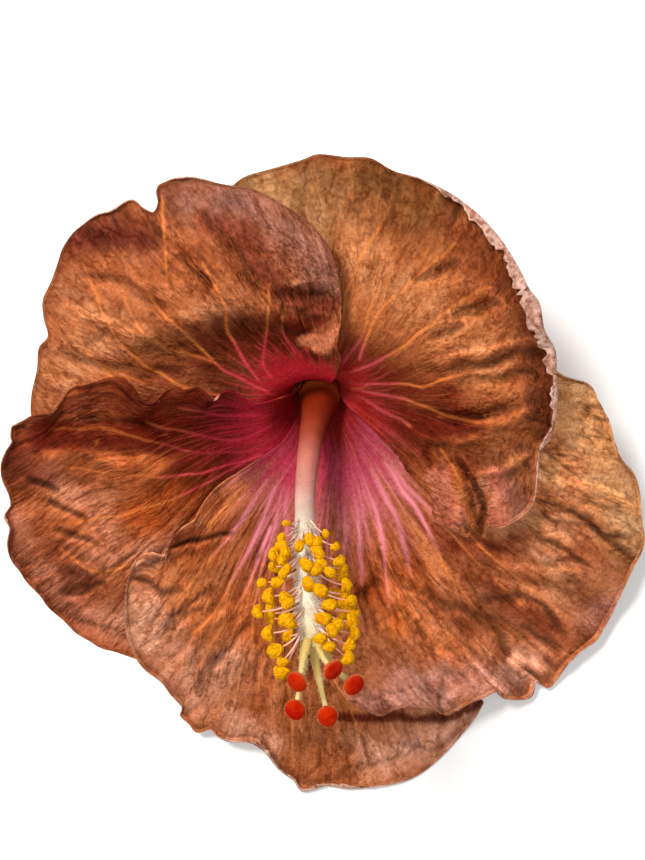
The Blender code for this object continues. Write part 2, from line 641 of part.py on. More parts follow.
def add_stalk():
    places = [(x, y, z) for x, y, z, _ in STALK]
    shares = np.linspace(0.0, 1.0, STALK_STEPS)
    radii = np.interp(shares, line_shares(places), [radius for *_, radius in STALK])
    rod("stalk", smooth_line(places, shares), radii, STALK_SIDES, "stalk", bulge=0.0)


clear_scene()
add_petals()
add_column()
add_stamens()
add_styles()
add_calyx()
add_epicalyx()
add_stalk()
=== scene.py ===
import math

import bmesh
import bpy
import numpy as np
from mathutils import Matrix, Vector


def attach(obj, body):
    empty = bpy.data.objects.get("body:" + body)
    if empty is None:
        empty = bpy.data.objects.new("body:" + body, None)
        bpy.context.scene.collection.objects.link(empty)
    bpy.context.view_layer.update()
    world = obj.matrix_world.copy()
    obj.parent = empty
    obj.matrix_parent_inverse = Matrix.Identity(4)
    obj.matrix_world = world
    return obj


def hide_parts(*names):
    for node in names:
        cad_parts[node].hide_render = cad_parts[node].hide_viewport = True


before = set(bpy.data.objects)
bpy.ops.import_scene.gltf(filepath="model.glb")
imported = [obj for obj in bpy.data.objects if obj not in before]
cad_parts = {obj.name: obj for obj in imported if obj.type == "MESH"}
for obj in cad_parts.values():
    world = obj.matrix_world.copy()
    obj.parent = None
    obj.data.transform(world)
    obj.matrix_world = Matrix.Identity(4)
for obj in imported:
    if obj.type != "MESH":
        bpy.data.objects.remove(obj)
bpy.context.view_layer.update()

# The bloom lies face up on z = 0. Sizes are in millimetres. Places on the face are written as they are seen
# from straight above on a level plane through the middle of the bloom, and seen() carries them along the
# line of sight to their own height. The petals, the column and the rest follow the CAD part's own lines.
MM = 0.001
EYE = (0.0, 10.5, 500.0)
FACE_PLANE_Z = 35.0
MIDDLE = (0.92, -4.21, 0.06)
random = np.random.default_rng(7)

DEEP_END = (-0.8, 22.0, 14.0)
TUBE_TILT = 30.0
TUBE_RADII = [(0.0, 5.7), (4.0, 6.2), (8.0, 7.4), (12.0, 9.2), (16.0, 11.6), (18.0, 13.0), (24.0, 18.5)]
RIM_HEIGHT = 18.0
PETAL_THICKNESS = 0.38
PETAL_HALF_ANGLE = 50.0
TUCK_AT_CLAW = 0.8
TUCK_PER_HEIGHT = 0.06
LIFT_AT_MARGIN = 4.0
# How much further the tucked side lies down than the lapping side rises
UNDERLAP = 1.5
LOWEST_PETAL_Z = 0.5
# Height of the picture on the face plane
SEEN_HEIGHT = 215.0

# Petal grid: steps across, steps in the tube, steps over the open face and steps over the margin's curl
ACROSS = 230
TUBE_ROWS = 20
FACE_ROWS = 130
CURL_ROWS = 14
# Rows that give the way the margin points, and steps that smooth an outline
STRETCH_ROWS = 8
SMOOTHING = 24
# How softly the petal bends at the rim of the tube, how far from the rim it does, how softly in any case,
# and the rows before and after the rim that this changes
FLARE = 2.6
FLARE_REACH = 10.0
SOFTEST = 0.001
ROWS_BEFORE_RIM = 12
ROWS_AFTER_RIM = 40
# How much lighter a petal is painted deep in the tube than on its face: painted light against the shade
# there
TUBE_PAINTED_LIGHT = 0.5
# The turns in degrees between which a margin comes to count as curled, and the longest arc of a curl
CURLED_FROM_TO = (60, 120)
LONGEST_ARC = 0.9 * math.pi
# From where outwards the small waves of the margin show, and from where across those of the lapping side
MARGIN_WAVES_FROM = 0.74
LAPPING_WAVES_FROM = 0.80
# The half width from which a fold is broad and smooth, how far a narrower one wanders from its line, and
# the points on that line
BROAD_FOLD = 3
CREASE_WANDER = 1.1
FOLD_POINTS = 12
# Wrinkles: how many across and where they start, how many outwards and where they start, and their height
# everywhere and in the crumpled areas
WRINKLES = [(13, 0, 2.2, 0, 1.1, 0.0), (18, 3, 3.5, 2, 0.0, 1.5), (42, 0, 8.0, 2, 0.10, 0.75)]
MIDDLE_OF_CREASES = 0.6
SLANTING_HEIGHT = 0.5
SWELLING_HEIGHT = 0.9
MARGIN_WAVE_HEIGHT = 1.1
# Fine and broad hollows and rises: steps that they are measured over, depth in mm, and how strongly
# painted shade darkens the hollows and painted light lightens the rises
CAVITIES = ((4, 0.22), (16, 1.3))
FINE_SHADE = 0.42
BROAD_SHADE = 0.22
# Half width of a main vein, what a pale one adds, how far it wanders, and half width of a thin ray
VEIN_WIDTH = 0.36
PALE_VEIN_WIDTH = 0.34
VEIN_WANDER = 0.4
RAY_WIDTH = 0.17
# How far the borders of the coloured areas wander, and how sharply tones and patches end
AREA_WANDER = 1.6
TONE_SHARPNESS = 2
PATCH_SHARPNESS = 6
# How strongly the fine ridges change red, green and blue, and how the veins differ from the throat's border
RIDGE_TINT = (0.9, 1.15, 1.3)
LIGHTER_OUTER = (1.7, 2.4, 2.0)
# How glossy every material is, and how high its fine grain stands beside the wrinkles
SPECULAR = 0.03
FINE_BUMP = 0.16
# A length that stands for none
TINY = 1e-9

FACE_HEIGHTS = [
    (-1, 78, 50), (-40, 70, 45), (-65, 53, 41), (-72, 30, 37), (34, 67, 46), (54, 40, 42), (57, 18, 37),
    (80, -12, 17), (68, -42, 2), (46, -56, 5), (15, -60, 12), (30, -70, 4), (-5, -79, 0), (-30, -65, 3),
    (-79, -2, 23), (-70, -32, 5), (-52, -45, 1), (-30, 48, 55), (27, 48, 56), (-50, 30, 49),
    (46, 22, 47), (-43, -2, 39), (37, -2, 41), (60, -8, 32), (20, -37, 27), (42, -32, 22), (-23, -42, 22),
    (-5, -57, 14), (-22, 20, 39), (22, 22, 43), (0, -8, 28), (-1, 34, 46), (-18, 4, 32), (17, 0, 32),
]

# Each petal: the direction it grows from the tube, its tucked side, its margin and its lapping side.
# The sides run from the rim of the tube outwards, and the margin from the tucked to the lapping side.
PETALS = {
    "petal_upper_left": {
        "direction": 122.0,
        "tucked": [(-22, 10), (-36, 6.5), (-50, 5.5), (-63, 7.5)],
        "margin": [
            (-70, 11), (-72.8, 14), (-72.8, 19.5), (-71.5, 25.5), (-71, 31), (-68.8, 34), (-69.8, 38.5),
            (-70, 43), (-68, 47.5), (-66.2, 52.5), (-65, 56), (-62.5, 59.5), (-59.5, 62), (-56.5, 64),
            (-53, 65), (-48, 67.8), (-45.2, 66), (-42.5, 65), (-41.2, 67.5), (-41.5, 70.8), (-39.5, 72.5),
            (-33, 73.5), (-25, 72), (-16.8, 70.5), (-9.2, 66.5), (-3, 62), (1.5, 56.8),
        ],
        "lapping": [
            (4.6, 27.5), (3.6, 31), (4.4, 37), (4.7, 44), (3.7, 50.5),
        ],
    },
    "petal_upper_right": {
        "direction": 50.0,
        "tucked": [(-2.5, 33), (-8, 45.5), (-15, 58), (-20.5, 67)],
        "margin": [
            (-22.8, 71.5), (-19.2, 74), (-13, 75.8), (-5.5, 78), (-1, 79.5), (5.8, 78.8), (12, 78.5),
            (17.5, 75.5), (24.5, 73), (30.8, 70), (35, 67.2), (40, 63), (45.2, 56.8), (49, 50.5),
            (51.5, 45.5), (54, 41.8), (55.2, 35.5), (57.8, 30.5), (58.2, 25), (58.5, 19), (58, 13.5),
            (56.8, 8.5), (54.8, 6.2), (53.8, 1.8), (53.5, -2), (52.3, -8), (49.7, -11.2), (45.2, -13.9),
            (42.6, -14.2), (41.6, -13.4), (40.3, -16.5), (37.9, -13.9), (36.3, -16.3), (32, -14.4),
            (27.3, -12),
        ],
        "lapping": [
            (14.5, 8.8), (18.8, 4.2), (20.8, 0.5), (24, -3), (27.2, -6.5),
        ],
    },
    "petal_right": {
        "direction": -22.0,
        "tucked": [(22, 20), (33, 23), (45, 25), (54, 26)],
        "margin": [
            (58.2, 25.3), (61, 23.5), (67, 21.5), (69.2, 17.5), (71.8, 12.5), (73.2, 7.5), (75, 3),
            (78, -0.8), (79.5, -5.8), (79.8, -12), (80.5, -17), (79.5, -20.8), (78, -23.5), (75.8, -28.2),
            (73, -34), (70.2, -38.8), (68.2, -42), (64.5, -44.8), (61, -48.2), (57.2, -53.5), (54.8, -53),
            (53.2, -52), (51.8, -56.2), (45.8, -56.5), (43.8, -54.8), (40.5, -56.5), (37, -57.8),
            (33.2, -60), (30.8, -60.8), (27, -59.2), (19.5, -59), (14.5, -61), (10.8, -59.5), (7, -57.5),
        ],
        "lapping": [
            (0.8, -1.5), (-1.5, -12), (-2.8, -22), (-2.8, -32), (-1.5, -42), (1, -49), (4.5, -55),
        ],
    },
    "petal_bottom": {
        "direction": -94.0,
        "tucked": [(12, -12), (22, -32), (32, -47), (38.5, -55)],
        "margin": [
            (40.2, -57.5), (38.2, -61.2), (35, -65.2), (30.8, -70), (25.8, -74.2), (20.8, -76.8),
            (14.5, -78.2), (7, -78.8), (0.8, -78.2), (-5, -79.5), (-7.2, -76.8), (-11, -74), (-14.2, -70),
            (-18, -67.5), (-23, -67.2), (-26, -66), (-28.2, -64.2), (-31.5, -65.2), (-33.5, -63),
            (-35.5, -61.2), (-35.2, -59), (-38, -55.8), (-40.5, -52.5), (-44.5, -49.5), (-47.2, -45.8),
            (-49, -40.8), (-49.5, -34.5), (-49.2, -29), (-48, -25.2), (-46.8, -22),
        ],
        "lapping": [
            (-18, 1.8), (-24.2, -2.2), (-27.5, -5), (-30.5, -9), (-31.8, -11.8), (-35, -14), (-38, -17.5),
            (-39.5, -20.8), (-44, -20),
        ],
    },
    "petal_left": {
        "direction": 194.0,
        "tucked": [(-18, -4), (-26, -18), (-36, -34), (-43, -43)],
        "margin": [
            (-46, -47), (-51.8, -45), (-55.5, -44), (-58.5, -42.2), (-61.8, -40.2), (-65, -37),
            (-68.5, -34), (-70.5, -31.2), (-73.8, -27.8), (-75.5, -25.2), (-77.5, -22.5), (-78.5, -19.5),
            (-78.5, -17), (-78, -14), (-79.4, -11.4), (-78.6, -9.8), (-77.8, -8), (-78.6, -5), (-80, -2),
            (-80.2, 1.8), (-79, 5), (-77.6, 7.4), (-77.8, 9), (-77.5, 11.2), (-75.5, 12),
        ],
        "lapping": [
            (-16, 16.8), (-19.2, 18.2), (-22.2, 20), (-25, 19.8), (-26.8, 17.5), (-28.5, 19),
            (-30.5, 21.2), (-34.2, 20.3), (-36.8, 21), (-39.2, 20), (-41, 18), (-43, 17), (-45.5, 18.2),
            (-48, 21.8), (-50.5, 23.8), (-54.2, 23.5), (-58.5, 21.8), (-62.5, 21), (-65, 17.5),
            (-66.8, 15.4), (-69, 14.4), (-71.5, 14.2), (-73.4, 13),
        ],
    },
}

# Folds of each petal: points along the fold, half its width, and its height
FOLDS = {
    "petal_upper_left": [
        ([(-22, 66), (-14, 55), (-7, 47), (3, 43)], 6.0, -3.4),
        ([(-33, 58), (-25, 50), (-19, 44), (-10, 40)], 5.0, 1.8),
        ([(-66, 36), (-45, 44), (-28, 46)], 8.0, 1.4),
        ([(-60, 25), (-38, 30), (-20, 33)], 6.0, -1.2),
        ([(-46, 34), (-32, 39), (-20, 41), (-8, 39)], 4.0, 1.8),
        ([(-66, 56), (-54, 66), (-44, 68)], 5.0, 2.2),
        ([(-29, 66), (-20, 53), (-13.5, 44)], 2.0, -1.2),
        ([(-13, 44.5), (-4, 44.5), (3, 43)], 2.0, -1.4),
        ([(-36, 55), (-32, 50), (-27, 46)], 1.3, -1.3),
        ([(-32, 57), (-28, 51), (-24, 47.5)], 1.2, -1.0),
        ([(-10, 42), (-4, 38.5), (1, 37)], 1.5, -1.5),
        ([(-12, 39), (-7, 34.6), (0, 36)], 1.5, -1.0),
        ([(-6, 31), (-1, 29.8), (3, 30)], 1.8, 1.0),
        ([(-8, 47), (-2, 48), (3, 46)], 1.3, 0.4),
        ([(-58, 60), (-50, 56), (-42, 58)], 3.0, -1.4),
        ([(-62, 50), (-50, 47), (-38, 40)], 1.6, -1.0),
        ([(-66, 42), (-52, 37), (-36, 31)], 1.8, 1.0),
        ([(-67, 30), (-50, 26), (-34, 24)], 1.6, -1.1),
    ],
    "petal_upper_right": [
        ([(24, 7), (39, 3), (56, 7)], 6.0, -1.4),
        ([(20, 46), (38, 53)], 7.0, -1.4),
        ([(30, 34), (52, 40)], 6.0, 1.2),
        ([(24, 68), (37, 57), (45, 43), (49, 28), (51, 12)], 5.0, 2.2),
        ([(25, 6), (27, 1)], 1.6, -0.6),
        ([(33, 5), (37.5, -2), (40.2, -7), (40.2, -14)], 0.9, -1.1),
        ([(31, 2), (34, -5), (35.5, -13)], 2.6, 1.7),
        ([(43, 0), (45, -12)], 3.0, 1.6),
        ([(22, 48), (35, 52.5)], 1.8, -1.3),
        ([(32, 39), (45, 43)], 1.5, -1.3),
        ([(27, 33), (36, 37)], 1.5, -1.1),
        ([(32, 22), (55, 25.5)], 2.0, -1.6),
        ([(30, 29), (44, 31), (54, 33)], 1.6, 1.2),
        ([(24, 25), (38, 26), (50, 29)], 1.4, -1.2),
        ([(22, 16), (36, 14), (50, 17)], 2.2, -1.7),
        ([(20, 11), (32, 8), (44, 10)], 1.6, 1.3),
        ([(34, 12), (46, 13), (55, 17)], 1.4, 1.3),
        ([(37, -1), (46, 1), (53, 6)], 1.5, 1.2),
    ],
    "petal_right": [
        ([(19, -25), (29, -34), (42, -38), (47, -44), (50, -53)], 5.5, -3.2),
        ([(36, -29), (52, -30), (62, -39)], 6.0, 1.6),
        ([(54, -8), (70, -14), (79, -23)], 6.0, -1.6),
        ([(17, -25), (27, -32), (39.5, -36), (44.5, -42), (47.5, -52)], 1.8, -1.6),
        ([(37, -32), (52, -32), (62, -42)], 1.6, -1.3),
        ([(60, -9), (66, -12), (72, -17), (77.5, -21.5)], 1.0, -0.9),
        ([(53.4, -16.7), (60, -19), (67.5, -24.8)], 0.9, -0.6),
        ([(8, -32), (14.5, -26)], 1.6, -1.2),
        ([(17, -33), (27, -42)], 1.6, -1.3),
        ([(34, -18), (50, -24), (66, -26)], 1.6, 1.1),
        ([(28, -44), (36, -50)], 1.6, 1.2),
        ([(46, -46), (56, -50)], 1.6, 1.2),
        ([(50, -38), (60, -46)], 1.6, -1.2),
        ([(62, -2), (72, -5), (79, -10)], 1.4, 0.9),
    ],
    "petal_bottom": [
        ([(-43, -21), (-30, -19.5), (-20, -16)], 4.5, -1.2),
        ([(-46, -28), (-36, -32), (-24, -44)], 6.0, 1.6),
        ([(-38, -57), (-22, -54), (-14, -42)], 6.0, -1.4),
        ([(-47, -22), (-40, -16.5), (-35, -13.5)], 3.0, 2.6),
        ([(-33, -12), (-26, -6)], 2.0, 0.8),
        ([(-38.5, -19.6), (-36, -18), (-33, -16.9), (-28.6, -16.3), (-22, -15.6)], 0.7, -0.9),
        ([(-38, -20), (-33, -18.6), (-27, -18)], 1.3, 0.8),
        ([(-48, -25), (-39, -30), (-34, -29)], 1.5, -1.2),
        ([(-36, -36), (-29, -34)], 1.4, -1.0),
        ([(-42, -42), (-34, -34), (-26, -28)], 1.4, -1.0),
        ([(-38, -50), (-30, -40), (-22, -32)], 1.5, 1.1),
        ([(-32, -56), (-26, -46), (-16, -36)], 1.5, -1.1),
    ],
    "petal_left": [
        ([(-74, -4), (-60, -8), (-44, -4)], 6.0, -1.6),
        ([(-70, 5), (-48, 3), (-28, 1)], 5.0, 1.8),
        ([(-66, -22), (-50, -22)], 6.0, 1.2),
        ([(-73, 15), (-62, 21), (-50, 23), (-40, 19), (-28, 19)], 4.0, 2.2),
        ([(-74, -2), (-65, -5)], 1.0, -1.2),
        ([(-69, -7), (-58, -12)], 1.0, -1.2),
        ([(-68, -14.5), (-55, -18)], 1.0, -1.1),
        ([(-68, -22), (-55, -25.5)], 1.6, 1.2),
        ([(-62, 14), (-50, 12), (-38, 10)], 1.6, -1.4),
        ([(-66, -30), (-54, -28)], 1.2, -1.2),
        ([(-72, 4), (-60, 5), (-46, 1)], 1.6, 1.2),
    ],
}

# Main veins of each petal: points along the vein, and how strongly it shows
VEINS = {
    "petal_upper_left": [
        ([(-12, 19), (-20, 23), (-27, 27.5), (-33, 33), (-38, 38), (-42, 42), (-44, 45.5)], 1.0),
        ([(-16, 23), (-20, 28), (-22.5, 33), (-24, 37), (-25, 43), (-30, 52)], 1.0),
        ([(-13, 24), (-15, 27.5), (-14.5, 33.5), (-13, 43), (-13.5, 47)], 0.8),
        ([(-19, 18), (-33, 20.8), (-39, 23.5), (-49, 30.5), (-55, 40.5), (-60, 52)], 0.9),
        ([(-53, 24), (-59, 30.5), (-61, 35.5)], 0.7),
        ([(-40, 68), (-39.5, 57), (-39, 47)], 0.9),
        ([(-27, 27.5), (-36, 30), (-45, 35), (-50, 44)], 0.7),
        ([(-7, 30), (-10, 36), (-9, 41)], 0.6),
    ],
    "petal_upper_right": [
        ([(9.5, 28.5), (13, 38), (19.5, 45.5), (26, 51), (33, 57)], 1.0),
        ([(6, 45), (9.5, 53.5), (14, 61), (15.5, 64)], 0.9),
        ([(4.5, 24), (16, 29), (27, 37), (37, 44), (42, 46)], 1.0),
        ([(6, 22), (20, 22), (26, 21.5), (36, 25.5), (43, 32)], 0.9),
        ([(6, 21), (22, 17.5), (36, 13), (42, 13)], 0.8),
        ([(6, 20.5), (14, 16), (22, 11.3)], 0.9),
        ([(29.5, 6), (35, -3)], 0.5),
        ([(5, 27), (10, 34), (13, 43), (20, 53)], 0.7),
    ],
    "petal_right": [
        ([(52, -6), (59.5, -7), (72, -9.5)], 0.8),
        ([(37, -16), (47, -25), (57, -33), (63, -37)], 0.8),
        ([(15.5, 2), (24.5, -11), (31, -24.5), (41, -38), (46, -47), (47.5, -52)], 1.0),
        ([(12, 0.5), (18.8, -13), (22.5, -26)], 0.9),
        ([(9.5, 0.5), (14, -13), (16, -27), (16.5, -34.5), (17, -44)], 1.0),
        ([(7, 0.5), (9, -14.5), (9.5, -28)], 0.9),
        ([(20, 2), (31, -9), (42, -17)], 0.8),
        ([(5, 0), (5.5, -12), (5, -24)], 0.7),
        ([(17, 1), (27, -10), (38, -22), (50, -33)], 0.7),
    ],
    "petal_bottom": [
        ([(-12, -4), (-17, -17), (-22, -26), (-25, -32), (-28.5, -37), (-32, -40)], 1.0),
        ([(-13, -14), (-19, -29.5), (-26, -40), (-30.5, -48)], 0.9),
        ([(-10, -4), (-12, -14), (-16, -28), (-18, -42), (-20, -54)], 0.8),
        ([(-9, -4), (-9, -12), (-9.5, -30), (-9, -48), (-7.5, -66), (-7.5, -72)], 0.9),
        ([(-6, -14), (-2, -34), (4, -52), (10, -66)], 0.7),
        ([(-14, -2), (-21, -13), (-30, -24), (-38, -34)], 0.9),
    ],
    "petal_left": [
        ([(-13, 5.5), (-30.5, 5), (-44, 8), (-54, 11), (-67, 10.5)], 0.4),
        ([(-8, 13), (-20.5, 8), (-30.5, 8.8), (-44, 12.5)], 0.6),
        ([(-15.5, 4), (-33, -0.5), (-48, -1), (-63, 1)], 1.0),
        ([(-19, 3), (-32, -4.5), (-45.5, -9.5), (-62, -13)], 1.0),
        ([(-48, -23), (-57, -25), (-65.5, -19.5)], 0.9),
        ([(-16, -2), (-30, -14), (-44, -24)], 0.8),
        ([(-12, 14), (-24, 14), (-36, 16)], 0.7),
    ],
}

# The curl of each margin: share of the margin, width of the curl, degrees that it turns
CURLS = {
    "petal_upper_left": [
        (0.0, 1.0, 15), (0.3, 1.0, -20), (0.46, 1.2, 60), (0.5, 2.0, 120), (0.54, 1.2, 40),
        (0.64, 1.0, -20), (0.68, 2.0, 130), (0.71, 1.2, 40), (0.8, 1.0, -30), (1.0, 1.0, -30),
    ],
    "petal_upper_right": [
        (0.0, 1.0, -10), (0.24, 1.0, -20), (0.28, 1.6, 110), (0.33, 3.0, 165), (0.40, 4.0, 165),
        (0.46, 4.2, 165), (0.52, 5.0, 168), (0.57, 6.4, 170), (0.62, 4.0, 165), (0.68, 3.2, 160),
        (0.74, 2.6, 150), (0.79, 1.8, 120), (0.83, 1.0, 30), (0.9, 1.0, -30), (1.0, 1.0, -20),
    ],
    "petal_right": [
        (0.0, 1.0, -10), (0.45, 1.0, 20), (0.52, 1.6, 110), (0.58, 1.4, 80), (0.62, 1.0, 20),
        (0.68, 2.4, 140), (0.73, 1.2, 40), (0.8, 1.0, -30), (1.0, 1.0, -30),
    ],
    "petal_bottom": [
        (0.0, 1.0, -20), (0.12, 1.0, 10), (0.25, 1.4, 90), (0.30, 2.4, 150), (0.38, 2.6, 155),
        (0.44, 1.8, 140), (0.50, 3.0, 150), (0.54, 1.6, 100), (0.57, 2.4, 140), (0.62, 1.0, 10),
        (0.8, 1.0, -25), (1.0, 1.2, -60),
    ],
    "petal_left": [
        (0.0, 1.0, -20), (0.5, 1.0, 20), (0.62, 1.2, 80), (0.66, 2.4, 150), (0.70, 1.2, 60),
        (0.8, 1.0, 30), (0.9, 1.4, 90), (1.0, 1.0, 20),
    ],
}

# Areas of other colours on each petal: points along the area, half its width, colour and strength;
# where an area is painted shade or painted light, a comment above its row says so
TONES = {
    "petal_upper_left": [
        # Painted shade: the dark band inside the upper left margin, which slopes away from the light
        ([(-62, 58), (-54, 60), (-46, 59)], 5.5, "plum", 1.0),
        ([(-33, 69), (-22, 68), (-12, 63), (-4, 56), (1, 48)], 6.0, "mauve", 0.9),
        ([(-31, 55), (-24, 54), (-17, 51)], 4.5, "brown", 0.5),
        ([(-34, 40), (-24, 40)], 3.0, "tan", 0.5),
        ([(-43, 34), (-36, 30)], 5.0, "olive", 0.3),
        # This row and the next: painted shade on the wall that falls into the throat
        ([(-29, 31), (-23, 32), (-15, 32), (-6, 36)], 5.0, "deep", 0.8),
        ([(-32, 28), (-26, 25)], 4.0, "deep", 0.6),
        ([(-64, 44), (-54, 39), (-48, 36)], 5.0, "tan", 0.4),
        ([(-68, 24), (-62, 26), (-58, 31)], 6.0, "tan", 0.9),
        ([(-44, 23), (-37, 24)], 3.5, "deep", 0.6),
        ([(-12, 41), (-6, 42), (0, 41)], 2.5, "brown", 0.6),
    ],
    "petal_upper_right": [
        ([(2, 73), (14, 73), (26, 67)], 6.0, "olive", 0.95),
        ([(-18, 72), (-8, 69), (0, 64)], 8.0, "straw", 0.9),
        ([(-17, 72), (-9, 73)], 5.0, "olive", 0.3),
        ([(-4, 62), (6, 61), (14, 62), (28, 62)], 5.0, "olive", 0.6),
        ([(38, 53), (44, 47)], 4.0, "brown", 0.5),
        ([(6, 58), (12, 50), (20, 46)], 6.0, "tan", 0.8),
        ([(26, 42), (34, 36), (42, 32)], 6.0, "tan", 0.5),
        ([(38, 24), (44, 25)], 4.0, "tan", 0.6),
        # Painted shade inside the rolled right margin
        ([(32, 62), (42, 51), (49, 40), (54, 26), (56, 12)], 4.5, "brown", 0.75),
        # These four rows: painted shade on the lower part that falls towards the throat
        ([(4, 28), (8, 30)], 3.0, "deep", 0.5),
        ([(12, 22), (24, 22), (32, 19)], 4.5, "deep", 0.8),
        ([(14, 14), (24, 13), (34, 12)], 7.0, "deep", 0.95),
        ([(24, 5), (32, 2), (38, 1)], 4.5, "deep", 0.4),
        ([(44, -4), (48, -8)], 4.5, "rose", 0.8),
        # Painted shade in a crease
        ([(38.5, -6), (40, -14)], 1.6, "brown", 0.4),
        # Painted light against the shadow of the upper left petal's flap
        ([(4, 30.5), (6, 29)], 2.0, "orange", 0.8),
        ([(49, 3), (53, 1)], 4.0, "tan", 0.5),
    ],
    "petal_right": [
        ([(60, 23), (68, 19)], 4.0, "sand", 0.9),
        ([(62, 14), (70, 6), (74, -6), (78, -16)], 8.0, "sand", 0.75),
        ([(53, 2), (57, 0)], 4.0, "sand", 0.7),
        # This row and the next: painted shade in folds
        ([(46, -34), (52, -36), (56, -38)], 4.0, "brown", 0.9),
        ([(62, -19), (70, -21)], 3.0, "brown", 0.5),
        ([(10, -57), (30, -57)], 3.0, "rose", 0.7),
        ([(60, -10), (56, -20), (60, -30)], 4.0, "tan", 0.7),
        ([(72, -22), (66, -24), (60, -44)], 4.5, "brown", 0.3),
        ([(74, -31), (66, -37)], 3.0, "rose", 0.5),
        ([(52, -48), (46, -52), (42, -53)], 4.5, "pale", 0.5),
        ([(20, -54), (30, -53), (38, -51)], 5.0, "rose", 0.6),
        # This row and the next two: painted shadow under the upper right petal's flap, and painted shade in
        # the folds below it
        ([(32, -18), (40, -19), (48, -18)], 4.6, "deep", 0.7),
        ([(36, -27), (44, -29)], 4.0, "brown", 0.7),
        ([(28, -31), (34, -36), (40, -40)], 3.0, "brown", 0.4),
        ([(10, -34), (9, -40)], 3.0, "brown", 0.35),
        ([(17, -21), (21, -25)], 4.0, "orange", 0.9),
        ([(12, -29), (18, -37)], 4.5, "orange", 0.95),
        ([(26, -45), (32, -44)], 4.0, "orange", 0.3),
        ([(46, -13), (52, -13)], 4.0, "straw", 0.5),
    ],
    "petal_bottom": [
        ([(-47, -33), (-45, -41)], 4.5, "pale", 0.8),
        ([(-40, -50), (-36, -54)], 4.0, "rose", 0.4),
        # Painted shade under the curl of the lapping side
        ([(-38, -16.5), (-27, -18.5)], 2.4, "brown", 0.8),
        # Painted light on the lip by the lapping side, whose relief faces away from the light
        ([(-21, -5), (-25, -8), (-28, -11), (-32, -13.5)], 3.6, "amber", 0.7),
        ([(-30, -24), (-22, -27)], 4.5, "umber", 0.8),
        ([(-20, -34), (-17, -42)], 5.0, "orange", 0.5),
        ([(-15, -12.5), (-16, -20)], 3.5, "deep", 0.35),
        ([(-22, -47), (-30, -57)], 4.5, "pale", 0.45),
        ([(-46, -23), (-41, -21.5)], 2.2, "pale", 0.7),
        ([(-44, -33), (-41, -39), (-37, -46), (-32, -51)], 5.0, "pale", 0.4),
        ([(-33, -21.5), (-28, -21)], 3.0, "orange", 0.5),
        ([(-22, -64), (-14, -68)], 4.0, "pale", 0.6),
        ([(0, -66), (9, -66)], 4.5, "umber", 0.9),
        ([(18, -66), (28, -62)], 4.5, "tan", 0.9),
        ([(15, -71), (28, -67), (36, -62)], 6.0, "pale", 0.8),
        # Painted shadow where the right petal's margin lies over this one
        ([(6, -61), (20, -61.6), (34, -60.6), (39, -57.8)], 1.2, "deep", 0.6),
    ],
    "petal_left": [
        # Painted shade on the band below the lapping border, which slopes away from the light
        ([(-22, 15), (-32, 12), (-44, 13)], 6.5, "deep", 1.0),
        ([(-64, -21), (-54, -21), (-54, -8)], 4.5, "pale", 0.5),
        ([(-70, -5), (-66, -7)], 3.5, "tan", 0.6),
        ([(-24, 6), (-30, 4), (-34, 1)], 5.0, "deep", 0.85),
        ([(-38, -18), (-32, -20)], 4.0, "tan", 0.4),
        ([(-62, 14), (-57, 14.5)], 2.5, "tan", 0.5),
        ([(-76, 7), (-70, 12), (-62, 16)], 4.5, "plum", 0.8),
        ([(-49, 1.5), (-43, 2)], 4.0, "amber", 0.6),
        ([(-68, -3), (-62, -6)], 3.5, "pale", 0.75),
        ([(-40, -5), (-34, -5)], 4.0, "orange", 0.7),
        ([(-46, -10), (-42, -14)], 4.5, "orange", 0.8),
        ([(-67, -20), (-62, -25)], 4.5, "brown", 0.8),
        ([(-76, -12), (-74, -22), (-66, -31)], 3.5, "rose", 0.6),
        ([(-60, -36), (-50, -39)], 5.5, "rose", 0.7),
        ([(-54, -37), (-51, -38)], 3.5, "pale", 0.8),
        ([(-46, -22), (-36, -18)], 3.6, "pale", 0.8),
        ([(-77, 2), (-70, -2)], 4.5, "plum", 0.8),
    ],
}
